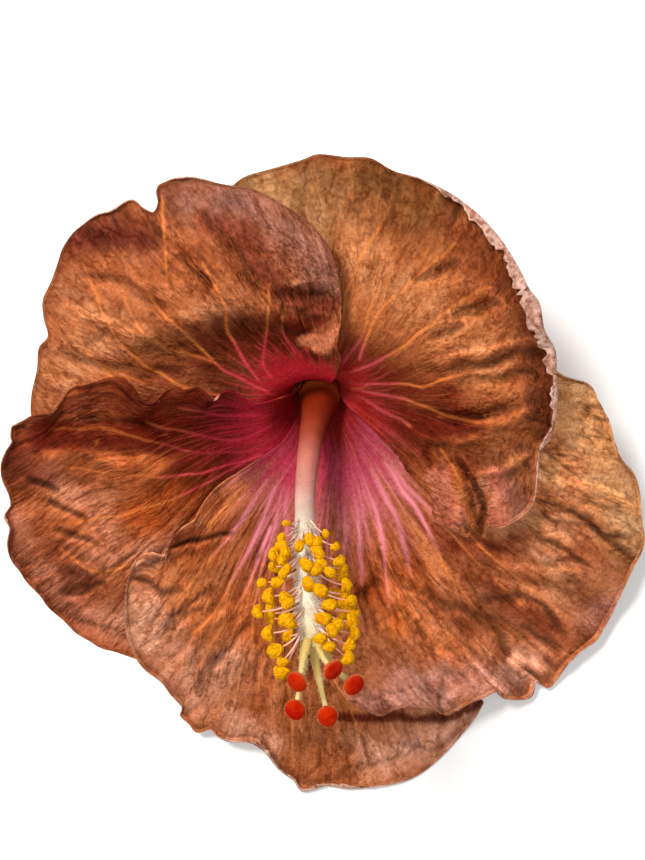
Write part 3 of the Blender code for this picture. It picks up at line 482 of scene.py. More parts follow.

# Patches with crisp borders on each petal, written as above; many are painted shade and some painted
# light, as the comments above their rows say
PATCHES = {
    "petal_upper_left": [
        # The first six: painted shade in the valley, in a crease and on the slopes that fall towards the
        # throat
        ([(-29, 62.5), (-20, 60), (-14, 52), (-10.5, 45)], 3.2, "plum", 0.75),
        ([(-36, 57), (-32, 51.5), (-28, 46.5)], 1.2, "brown", 0.8),
        ([(-26, 36), (-20, 36), (-13, 37.5)], 2.6, "deep", 0.5),
        ([(-8, 44), (-3, 43), (2, 42.5)], 2.6, "plum", 0.8),
        ([(-8, 37), (-5, 36.5), (-1, 38)], 1.8, "deep", 0.8),
        ([(-9, 30.5), (-5, 29.6), (-1, 28.8)], 1.2, "deep", 0.7),
        # This row and the next: painted light on a facet that faces the light
        ([(-5.2, 32.4), (-1, 32.6), (2, 33.8), (4.0, 35.8)], 1.7, "peach", 0.85),
        ([(-1.5, 31.4), (1.6, 30.6)], 1.4, "peach", 0.85),
    ],
    "petal_upper_right": [
        ([(28.5, -2), (31, -6), (33.5, -12)], 2.8, "dusty", 0.8),
        ([(28.5, -7), (29.5, -12)], 2.4, "dusty", 0.8),
        ([(43.5, -2), (46.5, -7), (44.5, -12.5)], 2.8, "dusty", 0.75),
        # The next four: painted shade in a crease, along the flap's edge, under the rolled margin and
        # towards the throat
        ([(33, 5), (37.5, -2), (40.2, -7), (40.2, -14)], 0.6, "brown", 0.5),
        ([(28.5, 7), (35, 0.5), (38, -8)], 0.7, "brown", 0.7),
        ([(50, 9), (52, 2), (51.6, -4)], 1.6, "plum", 0.3),
        ([(16, 14), (26, 12), (38, 12)], 3.0, "deep", 0.6),
    ],
    "petal_right": [
        # All but the last: painted shadow under the upper right petal's flap, and painted shade in the
        # creases
        ([(33, -18), (38, -19), (47, -18)], 2.2, "deep", 0.35),
        ([(36, -27), (42, -29), (47, -33)], 1.2, "brown", 0.6),
        ([(33, -37), (38, -39)], 2.4, "brown", 0.45),
        ([(60, -9), (66, -12), (72, -17), (77.5, -21.5)], 0.6, "brown", 0.7),
        ([(54, -10.7), (61, -13.5), (69, -18.8)], 0.5, "brown", 0.6),
        ([(53.4, -16.7), (60, -19), (67.5, -24.8)], 0.5, "brown", 0.6),
        ([(51, -25), (58, -28), (63, -33)], 0.5, "brown", 0.5),
        ([(18, -21), (23, -27), (25.5, -30)], 2.2, "amber", 0.45),
    ],
    "petal_bottom": [
        ([(-46, -24), (-41, -22.5)], 1.2, "deep", 0.6),
        # Painted shade inside the curl of the lapping side, and in the next row its shadow below it
        ([(-36.5, -16.2), (-33, -14.9), (-29.5, -14.2)], 1.3, "roll", 0.65),
        ([(-38.5, -19.6), (-36, -18), (-33, -16.7), (-27, -16)], 0.4, "deep", 0.5),
        ([(-37.6, -15.4), (-34, -13.2), (-30.5, -12.2)], 0.5, "rose", 0.8),
        # Painted shadow where the right petal's margin lies over this one
        ([(4, -61), (20, -61.6), (34, -60.6), (39, -57.8)], 1.2, "deep", 0.8),
    ],
    "petal_left": [
        # All four: painted shade along the lapping border and in the band below it
        ([(-60, 21), (-52, 22.5), (-46, 18), (-40, 18), (-32, 19)], 2.2, "deep", 0.75),
        ([(-30, 12), (-22, 13)], 3.5, "deep", 0.5),
        ([(-70, 9.5), (-60, 9), (-48, 8.5), (-36, 9.5)], 4.2, "deep", 0.95),
        ([(-58, 16.5), (-50, 17)], 3.0, "deep", 0.6),
    ],
}

# Staminal column: (x, y, z, radius) along its middle line, from the deep end to its tip
COLUMN = [
    (-0.8, 20.7, 15.5, 4.5), (-0.8, 18.7, 19.5, 5.2), (-1.0, 16.6, 23.5, 4.6), (-1.8, 13.5, 28.0, 3.7),
    (-3.0, 8.0, 35.0, 3.0), (-3.8, 2.0, 40.5, 2.7), (-4.4, -5.0, 46.0, 2.5), (-4.5, -12.0, 50.5, 2.4),
    (-4.3, -20.0, 55.0, 2.4), (-3.8, -28.0, 58.8, 2.3), (-3.3, -35.0, 61.8, 2.2), (-2.8, -40.0, 63.7, 2.1),
    (-2.6, -42.0, 64.4, 1.9),
]

# Stamens: where each anther is seen (x, y), its radius, and whether it stands before (1) or behind (-1)
STAMEN_REACH = 10.5
# The filaments leave the column this much above their anthers, between these two heights
ROOT_ABOVE = 2.8
ROOTS_FROM_TO = (-39.5, -13.0)
FILAMENT_RADIUS = 0.28
STAMENS = [
    (-9.2, -12.8, 0.8, 1), (-10.2, -16.8, 1.1, 1), (-12.0, -20.8, 1.4, 1), (-9.2, -20.0, 1.3, 1),
    (-12.2, -23.8, 1.3, -1), (-9.2, -24.6, 1.2, 1), (-11.4, -27.6, 1.4, 1), (-15.0, -27.8, 1.3, 1),
    (-13.4, -31.2, 1.5, 1), (-9.2, -31.6, 1.5, 1), (-16.2, -35.0, 1.3, 1), (-12.8, -35.4, 1.5, -1),
    (-9.4, -37.0, 1.6, 1), (-13.6, -40.4, 1.5, 1), (-8.6, -41.0, 1.3, -1), (-11.8, -44.6, 1.8, 1),
    (-10.4, -50.0, 1.6, 1), (-5.8, -18.6, 1.2, 1), (-3.0, -17.2, 1.4, 1), (-1.4, -19.3, 1.1, 1),
    (-3.8, -23.4, 1.5, 1), (-0.1, -23.0, 1.2, 1), (-3.5, -28.2, 1.5, 1), (-0.4, -29.8, 1.6, 1),
    (0.8, -15.6, 0.9, 1), (3.3, -18.6, 1.0, 1), (4.3, -22.2, 1.3, 1), (2.0, -25.2, 1.3, 1),
    (4.8, -25.8, 1.4, -1), (5.9, -28.4, 1.4, 1), (4.2, -30.4, 1.3, -1), (7.0, -32.2, 1.5, 1),
    (2.0, -33.2, 1.5, 1), (5.4, -35.0, 1.3, -1), (0.4, -36.8, 1.6, 1), (3.5, -38.0, 1.6, 1),
    (7.2, -37.6, 1.6, 1), (-0.4, -41.6, 1.3, 1), (6.7, -43.2, 1.4, 1), (6.3, -46.6, 1.5, 1),
]
# Anthers seen between those: each stands with the nearest one above
MORE_ANTHERS = [
    (-10.5, -18.5), (-10.0, -22.2), (-9.8, -25.5), (-8.8, -33.0), (-13.0, -34.0), (-12.8, -36.8),
    (-8.2, -37.6), (-10.0, -47.4), (-1.5, -17.6), (-0.8, -20.6), (-1.6, -24.4), (5.0, -24.2),
    (5.6, -30.6), (2.2, -30.8), (4.4, -33.2), (2.4, -39.8), (7.8, -35.0), (7.8, -40.4), (1.8, -43.6),
]

# Styles: where each starts round the tip of the column (degrees), (x, y, z) half way and at the middle of
# its stigma, and the way the stigma faces
STYLE_RADIUS = 0.75
STYLE_CIRCLE = 1.6
STYLE_SEAT = 0.6
STIGMA_RADIUS = 2.4
STIGMA_THICKNESS = 2.4
STYLES = [
    (126.0, (-4.9, -47.6, 68.0), (-6.2, -52.4, 71.6), (-0.45, -0.35, 0.82)),
    (198.0, (-5.4, -51.8, 63.2), (-6.8, -59.4, 66.2), (-0.10, -0.20, 0.97)),
    (270.0, (-0.7, -52.6, 62.6), (1.3, -61.0, 67.0), (0.05, -0.20, 0.98)),
    (54.0, (0.1, -46.2, 69.0), (2.6, -49.4, 72.2), (0.50, -0.45, 0.74)),
    (342.0, (2.9, -48.8, 65.4), (7.8, -53.2, 68.6), (0.40, -0.25, 0.88)),
]

# Calyx cup, the bracts on their collar under it, and the stalk
CALYX_GAP = 0.6
CALYX_WALL = 0.7
CALYX_FLOOR = 2.4
CALYX_FLOOR_GAP = 0.35
CALYX_NOTCH_HEIGHT = 9.0
CALYX_LOBE_HEIGHT = 17.0
CAD_PETAL_THICKNESS = 0.45
BRACTS = 7
BRACT_THICKNESS = 0.7
COLLAR_RADII = (2.1, 4.0)
COLLAR_DROP = 0.4
# Along a bract: distance from the tube's middle line, height above the collar, half its width
BRACT_LINE = [(4.0, 0.0, 1.2), (7.0, -0.4, 1.2), (10.3, 0.8, 1.3), (12.0, 3.6, 1.25), (13.0, 7.2, 1.0),
              (14.6, 11.0, 0.3)]
STALK = [
    (-0.8, 24.0, 9.6, 1.9), (-0.8, 25.3, 7.4, 1.6), (-0.6, 27.4, 5.0, 1.4), (0.0, 30.6, 3.1, 1.35),
    (1.4, 35.0, 1.9, 1.3), (3.6, 40.5, 1.4, 1.3), (6.6, 46.5, 1.35, 1.3), (10.0, 52.0, 1.35, 1.3),
]


def srgb(red, green, blue):
    """A colour from 0 to 255 as linear light."""
    return np.array([((c / 255 + 0.055) / 1.055)**2.4 if c > 10 else c / 255 / 12.92
                     for c in (red, green, blue)])


PETAL_BASE = srgb(157, 86, 47)
PETAL_BACK = srgb(196, 140, 112)
PALE_EDGE = srgb(208, 166, 148)
VEIN_WARM = srgb(216, 122, 56)
VEIN_PINK = srgb(220, 130, 146)
# A dark red that the throats take on near the column: partly their own colour, partly painted shade
THROAT_DEEP = srgb(112, 12, 8)
# Named colours for the areas below. "deep" stands mostly for painted shade, and "roll" for the shade inside
# a curl; where another tint is painted shade or painted light, a comment above its row says so
TINTS = {
    "mauve": srgb(150, 98, 78), "orange": srgb(186, 90, 36), "olive": srgb(104, 62, 28),
    "straw": srgb(158, 112, 72), "umber": srgb(130, 72, 40), "amber": srgb(224, 126, 70),
    "pale": srgb(214, 150, 118), "brown": srgb(112, 50, 25), "plum": srgb(112, 48, 32),
    "tan": srgb(186, 118, 74), "rose": srgb(188, 122, 98), "dusty": srgb(186, 104, 80),
    "peach": srgb(202, 118, 82), "roll": srgb(116, 46, 34), "deep": srgb(86, 20, 8),
    "sand": srgb(187, 130, 78),
}

# How far the throat's colour reaches on each petal: direction from its middle in degrees, distance
THROAT_CENTRE = (-1.0, 21.5)
THROAT_REACH = {
    "petal_upper_left": [(60, 8), (90, 8), (110, 10), (130, 14), (150, 19), (180, 22), (220, 20)],
    "petal_upper_right": [(-90, 24), (-40, 27), (-15, 20), (10, 17), (45, 13), (90, 9), (150, 9)],
    "petal_right": [(-110, 42), (-85, 42), (-60, 41), (-40, 35), (-20, 25), (30, 18)],
    "petal_bottom": [(180, 26), (215, 31), (235, 37), (265, 40), (300, 38)],
    "petal_left": [(120, 18), (160, 24), (185, 28), (205, 34), (230, 34), (260, 30)],
}
# Thin rays round the throat on each petal: how many, how strong and how pale
RAYS = {
    "petal_upper_left": (22, 0.6, 0.10), "petal_upper_right": (20, 0.4, 0.25),
    "petal_right": (26, 0.6, 0.9), "petal_bottom": (24, 0.55, 0.9), "petal_left": (22, 0.40, 0.08),
}
# How wrinkled each petal is beside the others
ROUGHNESS = {
    "petal_upper_left": 0.65, "petal_upper_right": 0.55, "petal_right": 0.95, "petal_bottom": 0.9,
    "petal_left": 0.8,
}
# How light each petal is beside the others, in red, green and blue: partly its own tone, and on the right
# and bottom petals also painted light, as they turn away from the key light
TONE_AND_PAINTED_LIGHT = {
    "petal_upper_left": (0.99, 1.00, 1.10), "petal_upper_right": (1.04, 1.06, 1.07),
    "petal_right": (1.66, 1.84, 2.20), "petal_bottom": (1.18, 1.22, 1.28), "petal_left": (1.04, 0.90, 0.81),
}
# Each petal's throat: colour near the column, colour at its outer border, how much it darkens towards
# the column, and how dark the petal is just outside it; both darkenings are partly the petal's own colour
# and partly painted shade on the walls that fall into the throat
THROATS = {
    "petal_upper_left": (srgb(200, 34, 52), srgb(188, 34, 50), 0.0, 0.60),
    "petal_upper_right": (srgb(184, 46, 46), srgb(144, 22, 24), 0.10, 0.85),
    "petal_right": (srgb(110, 14, 20), srgb(156, 50, 72), 0.30, 0.60),
    "petal_bottom": (srgb(140, 20, 36), srgb(180, 44, 76), 0.15, 0.20),
    "petal_left": (srgb(140, 18, 26), srgb(174, 32, 54), 0.4, 0.80),
}

# Colours along the column, by where they are seen; the last two stops, at its root, are lighter than its
# own colour, as painted light against the shade deep in the tube
COLUMN_COLOURS = [
    (-45.0, srgb(206, 196, 140)), (-40.0, srgb(204, 190, 150)), (-34.0, srgb(206, 200, 182)),
    (-14.0, srgb(188, 174, 156)), (-9.0, srgb(186, 153, 140)), (-5.0, srgb(182, 126, 116)),
    (2.0, srgb(186, 110, 98)), (8.0, srgb(146, 62, 42)), (11.0, srgb(136, 50, 30)),
    (14.0, srgb(116, 34, 14)), (17.0, srgb(112, 30, 6)), (19.5, srgb(216, 104, 34)),
    (22.5, srgb(250, 196, 90)),
]


def smoothstep(low, high, x):
    """0 below low, 1 above high, and a soft rise between them."""
    t = np.clip((x - low) / (high - low), 0.0, 1.0)
    return t * t * (3 - 2 * t)


def mix(first, second, share):
    """Two colours mixed, by the share of the second."""
    share = np.asarray(share)[..., None]
    return first * (1 - share) + second * share


def unit(vectors):
    """The vectors at a length of one."""
    return vectors / np.linalg.norm(vectors, axis=-1, keepdims=True)


def turns_round(sides):
    """The angles of evenly spaced places round a circle, in radians."""
    return 2 * math.pi * np.arange(sides) / sides


def bell(reach, spread):
    """Weights for a place and its neighbours up to reach steps away: highest in the middle, 1 in all."""
    weights = np.exp(-np.linspace(-spread, spread, 2 * reach + 1)**2)
    return weights / weights.sum()


def seen(x, y, z):
    """The points at heights z that are seen at (x, y) on the face plane."""
    scale = (EYE[2] - z) / (EYE[2] - FACE_PLANE_Z)
    return np.stack([EYE[0] + (x - EYE[0]) * scale, EYE[1] + (y - EYE[1]) * scale, z + 0 * x], axis=-1)


def as_seen(points):
    """Where points are seen on the face plane."""
    scale = (EYE[2] - FACE_PLANE_Z) / (EYE[2] - points[..., 2])
    return np.stack([EYE[0] + (points[..., 0] - EYE[0]) * scale,
                     EYE[1] + (points[..., 1] - EYE[1]) * scale], axis=-1)


def line_shares(points):
    """How far along a line each of its points lies, from 0 to 1."""
    lengths = np.linalg.norm(np.diff(np.array(points, float), axis=0), axis=1)
    return np.concatenate([[0.0], np.cumsum(lengths)]) / lengths.sum()


def smooth_line(points, shares):
    """Points at these shares (0 to 1) of the length of a smooth curve through the given points."""
    points = np.array(points, float)
    padded = np.vstack([2 * points[0] - points[1], points, 2 * points[-1] - points[-2]])
    at = line_shares(points)
    shares = np.asarray(shares, float)
    k = np.clip(np.searchsorted(at, shares, side="right") - 1, 0, len(points) - 2)
    t = ((shares - at[k]) / (at[k + 1] - at[k]))[:, None]
    a, b, c, d = padded[k], padded[k + 1], padded[k + 2], padded[k + 3]
    return 0.5 * (2 * b + (c - a) * t + (2 * a - 5 * b + 4 * c - d) * t**2 + (3 * b - a - 3 * c + d) * t**3)


def even_line(points, count):
    """This many evenly spaced points on a smooth curve through the given points."""
    return smooth_line(points, np.linspace(0.0, 1.0, count))


def spread_heights(samples):
    """A smooth surface through (x, y, z) samples, as a function of x and y (a thin-plate spline)."""
    samples = np.array(samples, float)
    places, heights = samples[:, :2], samples[:, 2]

    def kernel(distance):
        return np.where(distance > 0, distance**2 * np.log(np.maximum(distance, TINY)), 0.0)

    count = len(samples)
    system = np.zeros((count + 3, count + 3))
    system[:count, :count] = kernel(np.linalg.norm(places[:, None] - places[None], axis=2))
    system[:count, count] = system[count, :count] = 1.0
    system[:count, count + 1:] = places
    system[count + 1:, :count] = places.T
    weights = np.linalg.solve(system, np.concatenate([heights, np.zeros(3)]))

    def height(x, y):
        bends = kernel(np.hypot(x[..., None] - places[:, 0], y[..., None] - places[:, 1])) @ weights[:count]
        return bends + weights[count] + weights[count + 1] * x + weights[count + 2] * y

    return height


def distance_to_line(points, x, y):
    """Distance from each (x, y) to a line of points, and how far along the line the nearest place is."""
    points = np.array(points, float)
    at = line_shares(points)
    nearest = np.full(x.shape, np.inf)
    along = np.zeros(x.shape)
    for k, ((x1, y1), (x2, y2)) in enumerate(zip(points, points[1:])):
        t = ((x - x1) * (x2 - x1) + (y - y1) * (y2 - y1)) / ((x2 - x1)**2 + (y2 - y1)**2)
        t = np.clip(t, 0.0, 1.0)
        distance = np.hypot(x - x1 - t * (x2 - x1), y - y1 - t * (y2 - y1))
        closer = distance < nearest
        nearest = np.where(closer, distance, nearest)
        along = np.where(closer, at[k] + t * (at[k + 1] - at[k]), along)
    return nearest, along


LATTICE_SIZE = 64
LATTICE = random.uniform(-1.0, 1.0, (LATTICE_SIZE, LATTICE_SIZE))
# How far each finer layer of noise is shifted, and the strengths of three layers together
LAYER_SHIFT = (17.3, 5.1)
LAYERS_TOTAL = 1.75


def noise(x, y):
    """Smooth noise between -1 and 1 with features about one unit across."""
    i, j = np.floor(x).astype(int), np.floor(y).astype(int)
    fx, fy = smoothstep(0.0, 1.0, x - i), smoothstep(0.0, 1.0, y - j)
    near_i, near_j = i % LATTICE_SIZE, j % LATTICE_SIZE
    far_i, far_j = (i + 1) % LATTICE_SIZE, (j + 1) % LATTICE_SIZE
    near = LATTICE[near_i, near_j] * (1 - fx) + LATTICE[far_i, near_j] * fx
    far = LATTICE[near_i, far_j] * (1 - fx) + LATTICE[far_i, far_j] * fx
    return near * (1 - fy) + far * fy


def layered_noise(x, y, layers=3):
    """Noise with finer and weaker noise laid over it."""
    shift_x, shift_y = LAYER_SHIFT
    total = sum(noise(x * 2**k + shift_x * k, y * 2**k + shift_y * k) / 2**k for k in range(layers))
    return total / LAYERS_TOTAL


def creases(x, y):
    """Rounded ridges parted by sharp creases, from 0 in a crease to 1 on a ridge."""
    return np.minimum(np.abs(layered_noise(x, y, 2)) * 1.5, 1.0)**0.5


def tube_point(height, radius, degrees):
    """A point round the tube: a height up its middle line, a radius and a direction."""
    tilt = math.radians(TUBE_TILT)
    along = np.array([0.0, -math.sin(tilt), math.cos(tilt)])
    upward = np.array([0.0, math.cos(tilt), math.sin(tilt)])
    angle = np.radians(degrees)
    height, radius, angle = (np.asarray(value, float)[..., None] for value in (height, radius, angle))
    round_it = np.array([1.0, 0.0, 0.0]) * np.cos(angle) + upward * np.sin(angle)
    return np.array(DEEP_END) + along * height + radius * round_it


def tube_radius(height):
    heights, radii = zip(*TUBE_RADII)
    return np.interp(height, heights, radii)


def tuck_at(height):
    """How far the sides of a petal lie in and out of the tube's own radius."""
    return TUCK_AT_CLAW + TUCK_PER_HEIGHT * height


def claw_point(petal, across, height):
    """A point of a petal in the tube."""
    u = 2 * across - 1
    radius = tube_radius(height) - tuck_at(height) * u
    return tube_point(height, radius, petal["direction"] - PETAL_HALF_ANGLE * u)


def smoothed(points, reach):
    """A line of evenly spaced points with its small waves taken out and its ends kept."""
    count = len(points)
    pad = min(count - 1, 3 * reach)
    before = 2 * points[0] - points[pad:0:-1]
    after = 2 * points[-1] - points[-2:-pad - 2:-1]
    longer = np.concatenate([before, points, after])
    weights = bell(reach, 2.4)
    soft = np.stack([np.convolve(longer[:, k], weights, mode="same") for k in (0, 1)], axis=1)
    return soft[pad:pad + count]


def face_plan(petal, across, outward):
    """Where the open part of a petal is seen: a patch between the rim, its two sides and its margin.

    The small waves of the margin and of the lapping side fade out towards the inside.
    """
    rim = as_seen(claw_point(petal, across, RIM_HEIGHT))
    margin = smooth_line(petal["margin"], across)
    tucked = smooth_line([rim[0], *petal["tucked"], margin[0]], outward)
    lapping = smooth_line([rim[-1], *petal["lapping"], margin[-1]], outward)
    soft_margin = smoothed(margin, SMOOTHING)
    soft_lapping = smoothed(lapping, SMOOTHING)
    a, o = across[:, None, None], outward[None, :, None]
    ruled_out = (1 - o) * rim[:, None] + o * soft_margin[:, None]
    ruled_across = (1 - a) * tucked[None] + a * soft_lapping[None]
    corners = (1 - a) * ((1 - o) * rim[0] + o * margin[0]) + a * ((1 - o) * rim[-1] + o * margin[-1])
    plan = ruled_out + ruled_across - corners
    plan = plan + (margin - soft_margin)[:, None] * smoothstep(MARGIN_WAVES_FROM, 1.0, o)
    return plan + (lapping - soft_lapping)[None] * smoothstep(LAPPING_WAVES_FROM, 1.0, a)


def fold_height(fold, number, x, y):
    """Height in mm that one broad fold or narrow crease adds at each place."""
    points, half_width, height = fold
    line = even_line(points, FOLD_POINTS)
    if half_width >= BROAD_FOLD:
        distance, _ = distance_to_line(line, x, y)
        return 1.25 * height * np.exp(-(distance / half_width)**2)
    distance, along = distance_to_line(line, x + CREASE_WANDER * layered_noise(x / 5 + number, y / 5, 2),
                                       y + CREASE_WANDER * layered_noise(y / 5, x / 5 + number, 2))
    distance = distance + 0.3 * half_width * noise(x / 4 + 3, y / 4 + number)
    taper = 1 - (2 * along - 1)**4
    return 1.5 * height * taper * np.exp(-(distance / half_width)**2)


def relief(name, number, x, y, a, o):
    """Height that folds and wrinkles add to a petal, in mm."""
    total = sum(fold_height(fold, number, x, y) for fold in FOLDS[name])
    strength = smoothstep(0.10, 0.45, o)
    wrinkled = strength * ROUGHNESS[name]
    shift = 11.0 * number
    bent = a + 0.022 * layered_noise(a * 5 + shift, o * 4)
    crumpled = smoothstep(-0.15, 0.40, noise(x / 12 + shift, y / 12 + 4))
    for across, start_across, outwards, start_outwards, everywhere, in_crumples in WRINKLES:
        pattern = creases(bent * across + shift + start_across, o * outwards + start_outwards)
        total += wrinkled * (everywhere + in_crumples * crumpled) * (pattern - MIDDLE_OF_CREASES)
    slanting = creases(x / 3.2 + y / 5 + shift, y / 3.2 - x / 5)
    total += wrinkled * SLANTING_HEIGHT * crumpled * (slanting - MIDDLE_OF_CREASES)
    total += strength * SWELLING_HEIGHT * layered_noise(x / 11 + shift, y / 11, 2)
    return total + smoothstep(0.72, 1.0, o) * MARGIN_WAVE_HEIGHT * noise(a * 17 + shift, o * 2)


def cavity(z):
    """How far each place of a petal lies above (up to 1) or below (down to -1) what is round it."""
    found = []
    for reach, depth in CAVITIES:
        weights = bell(reach, 2.0)
        soft = np.pad(z, reach, mode="edge")
        for axis in (0, 1):
            soft = np.apply_along_axis(lambda line: np.convolve(line, weights, mode="valid"), axis, soft)
        found.append(np.tanh((z - soft) / depth))
    return found


def throat_share(name, number, x, y, a):
    """Distance from the throat's middle as a share of how far its colour reaches in that direction."""
    dx, dy = x - THROAT_CENTRE[0], y - THROAT_CENTRE[1]
    directions, reaches = zip(*THROAT_REACH[name])
    middle = (directions[0] + directions[-1]) / 2
    degrees = (np.degrees(np.arctan2(dy, dx)) - middle + 180) % 360 - 180 + middle
    reach = np.interp(degrees, directions, reaches)
    return np.hypot(dx, dy) / (reach * (1 + 0.12 * noise(a * 26 + 5 * number, 0 * a)))


def veins_at(name, x, y, share):
    """How strongly a main vein shows at each place, from 0 to 1."""
    total = np.zeros(x.shape)
    pale = RAYS[name][2]
    width = VEIN_WIDTH + PALE_VEIN_WIDTH * pale * np.exp(-((share - 0.95) / 0.35)**2)
    for points, strength in VEINS[name]:
        line = even_line(points, 4 * len(points))
        distance, along = distance_to_line(line, x + VEIN_WANDER * noise(x / 5, y / 5),
                                           y + VEIN_WANDER * noise(y / 5, x / 5))
        total = np.maximum(total, strength * np.exp(-(distance / width)**2) * (1 - 0.45 * along))
    return total * smoothstep(0.25 + 0.25 * pale, 0.70 + 0.25 * pale, share)


def rays_at(name, number, a, o, spread, share):
    """How strongly the thin rays round the throat show, from 0 to 1; spread is the petal's width in mm."""
    total = np.zeros(a.shape)
    count, most, _ = RAYS[name]
    own = np.random.default_rng(100 + number)
    width = RAY_WIDTH + 0.10 * np.exp(-((share - 0.9) / 0.25)**2)
    for k in range(count):
        middle = (k + 0.5 + own.uniform(-0.3, 0.3)) / count
        reach = own.uniform(1.05, 1.5)
        strength = own.uniform(0.4, 1.0)
        drift = 0.014 * noise(o * 5 + 3.3 * k, 0 * o + number)
        line = np.exp(-(np.abs(a - middle - drift) * spread / width)**2)
        total = np.maximum(total, strength * line * (1 - smoothstep(0.9, reach, share)))
    return most * total * smoothstep(0.45, 0.95, share)


def tinted(colour, areas, x, y, sharpness):
    """The colour with other colours mixed in round lines of points."""
    for points, half_width, tint, strength in areas:
        distance, _ = distance_to_line(points, x, y)
        colour = mix(colour, TINTS[tint], strength * np.exp(-(distance / half_width)**sharpness))
    return colour


def open_colour(name, number, x, y, wavy, a, o):
    """The petal's colour without its throat, patches and veins."""
    colour = tinted(np.broadcast_to(PETAL_BASE, (*x.shape, 3)), TONES[name], *wavy, TONE_SHARPNESS)
    blotches = 0.09 * layered_noise(x / 7 + number, y / 7) + 0.05 * noise(x / 1.6, y / 1.6 + number)
    colour = colour * (1 + blotches[..., None]) * np.array(TONE_AND_PAINTED_LIGHT[name])
    ridges = 0.12 * noise(a * 30 + 7 * number, o * 2) + 0.14 * noise(a * 74 + 3 * number, o * 4)
    return colour * (1 + (ridges * smoothstep(0.1, 0.4, o))[..., None] * RIDGE_TINT)


def with_throat(colour, name, number, a, o, share, near_colour):
    """The throat's colour, partly painted shade near the column, laid over the colour and softly streaked
    along its border.
    """
    inner, outer, deepening, _ = THROATS[name]
    pale = RAYS[name][2]
    throat = mix(np.broadcast_to(inner, colour.shape), outer, smoothstep(0.28, 0.58, share))
    throat = mix(throat, near_colour, 0.45 * pale * smoothstep(0.60, 0.86, share))
    streak = 0.5 + 0.5 * noise(a * 50 + 3 * number, o * 1.6)
    colour = mix(colour, throat, 0.96 * (1 - smoothstep(0.62, 1.02, share + 0.16 * streak)))
    # Darker towards the column: partly the throat's own deep red, partly painted shade
    colour = mix(colour, THROAT_DEEP, deepening * (1 - smoothstep(0.10, 0.55, share)))
    fine = np.abs(noise(a * 110 + 5 * number, o * 6)) * smoothstep(0.2, 0.8, share)
    colour = mix(colour, near_colour, (0.06 + 0.22 * pale) * fine * (1 - smoothstep(0.8, 1.05, share)))
    between = smoothstep(0.0, 0.5, noise(a * 80 + 3 * number, o * 3)) * np.exp(-((share - 1.12) / 0.16)**2)
    return mix(colour, TINTS["deep"] * 1.4, 0.55 * between)


def petal_paint(name, number, x, y, a, o, spread):
    """The petal's colour on its face at each place, with the strength of the veins after it."""
    wavy = (x + AREA_WANDER * layered_noise(x / 6 + number, y / 6),
            y + AREA_WANDER * layered_noise(y / 6 + 9, x / 6 + number))
    share = throat_share(name, number, x, y, a)
    colour = open_colour(name, number, x, y, wavy, a, o)
    _, outer, _, dark_outside = THROATS[name]
    # Darker just outside the throat: partly the petal's own colour, partly painted shade on the walls that
    # fall into it
    colour = mix(colour, TINTS["deep"] * 1.2, dark_outside * (1 - smoothstep(0.8, 1.6, share)))
    colour = tinted(colour, PATCHES[name], *wavy, PATCH_SHARPNESS)
    near_colour = mix(np.array(outer) * LIGHTER_OUTER, VEIN_PINK, RAYS[name][2])
    colour = with_throat(colour, name, number, a, o, share, near_colour)
    veins = np.maximum(veins_at(name, x, y, share), rays_at(name, number, a, o, spread, share))
    vein_colour = mix(np.broadcast_to(near_colour, colour.shape), VEIN_WARM, smoothstep(0.95, 1.5, share))
    return np.concatenate([mix(colour, vein_colour, 0.9 * veins), veins[..., None]], axis=-1)


def curl_at(name, across):
    """Width, and turn in radians, of the margin's curl along the margin; a wide curl's edge is jagged."""
    shares, widths, turns = (np.array(v, float) for v in zip(*CURLS[name]))
    width = np.interp(across, shares, widths)
    turn = np.interp(across, shares, turns)
    jagged = 0.30 * noise(across * 60, across * 0) + 0.24 * noise(across * 190, across * 0 + 5)
    return width * (1 + jagged * smoothstep(*CURLED_FROM_TO, turn)), np.radians(turn)


def curl_steps(width, turn):
    """How far out and how far up each step of the curl lies, along the margin."""
    shares = np.linspace(0.0, 1.0, CURL_ROWS + 1)
    arc = np.minimum(width, LONGEST_ARC)
    angles = turn[:, None] * smoothstep(0.0, 1.0, np.minimum(shares * (width / arc)[:, None], 1.0))
    step = (width / CURL_ROWS)[:, None]
    start = np.zeros((len(width), 1))
    return [np.concatenate([start, np.cumsum(way(angles[:, :-1]) * step, axis=1)], axis=1)
            for way in (np.cos, np.sin)]


def pulled_in(plan, outward, taken):
    """The plan with its outer part drawn inwards, so that the curl ends where the outline was."""
    place = outward - taken[:, None] * smoothstep(0.35, 1.0, outward) * smoothstep(0.3, 1.0, outward)
    place = np.clip(place, 0.0, 1.0) * FACE_ROWS
    low = np.clip(np.floor(place).astype(int), 0, FACE_ROWS - 1)
    part = (place - low)[..., None]
    column = np.arange(ACROSS + 1)[:, None]
    return plan[column, low] * (1 - part) + plan[column, low + 1] * part


def tube_rows(name, number, across):
    """The petal's rows in the tube: points, colours and how far outwards each lies."""
    for k in range(TUBE_ROWS):
        height = RIM_HEIGHT * k / TUBE_ROWS
        points = claw_point(PETALS[name], across, height)
        x, y = as_seen(points).T
        spread = np.full_like(across, tube_radius(height) * 2 * math.radians(PETAL_HALF_ANGLE))
        paint = petal_paint(name, number, x, y, across, 0 * across, spread)
        # Painted light: the rows deep in the tube are lightened against the shade there
        paint[:, :3] *= 1 + TUBE_PAINTED_LIGHT * (1 - smoothstep(0.4, 1.0, k / TUBE_ROWS))
        yield points, paint, -0.2 + 0.2 * k / TUBE_ROWS


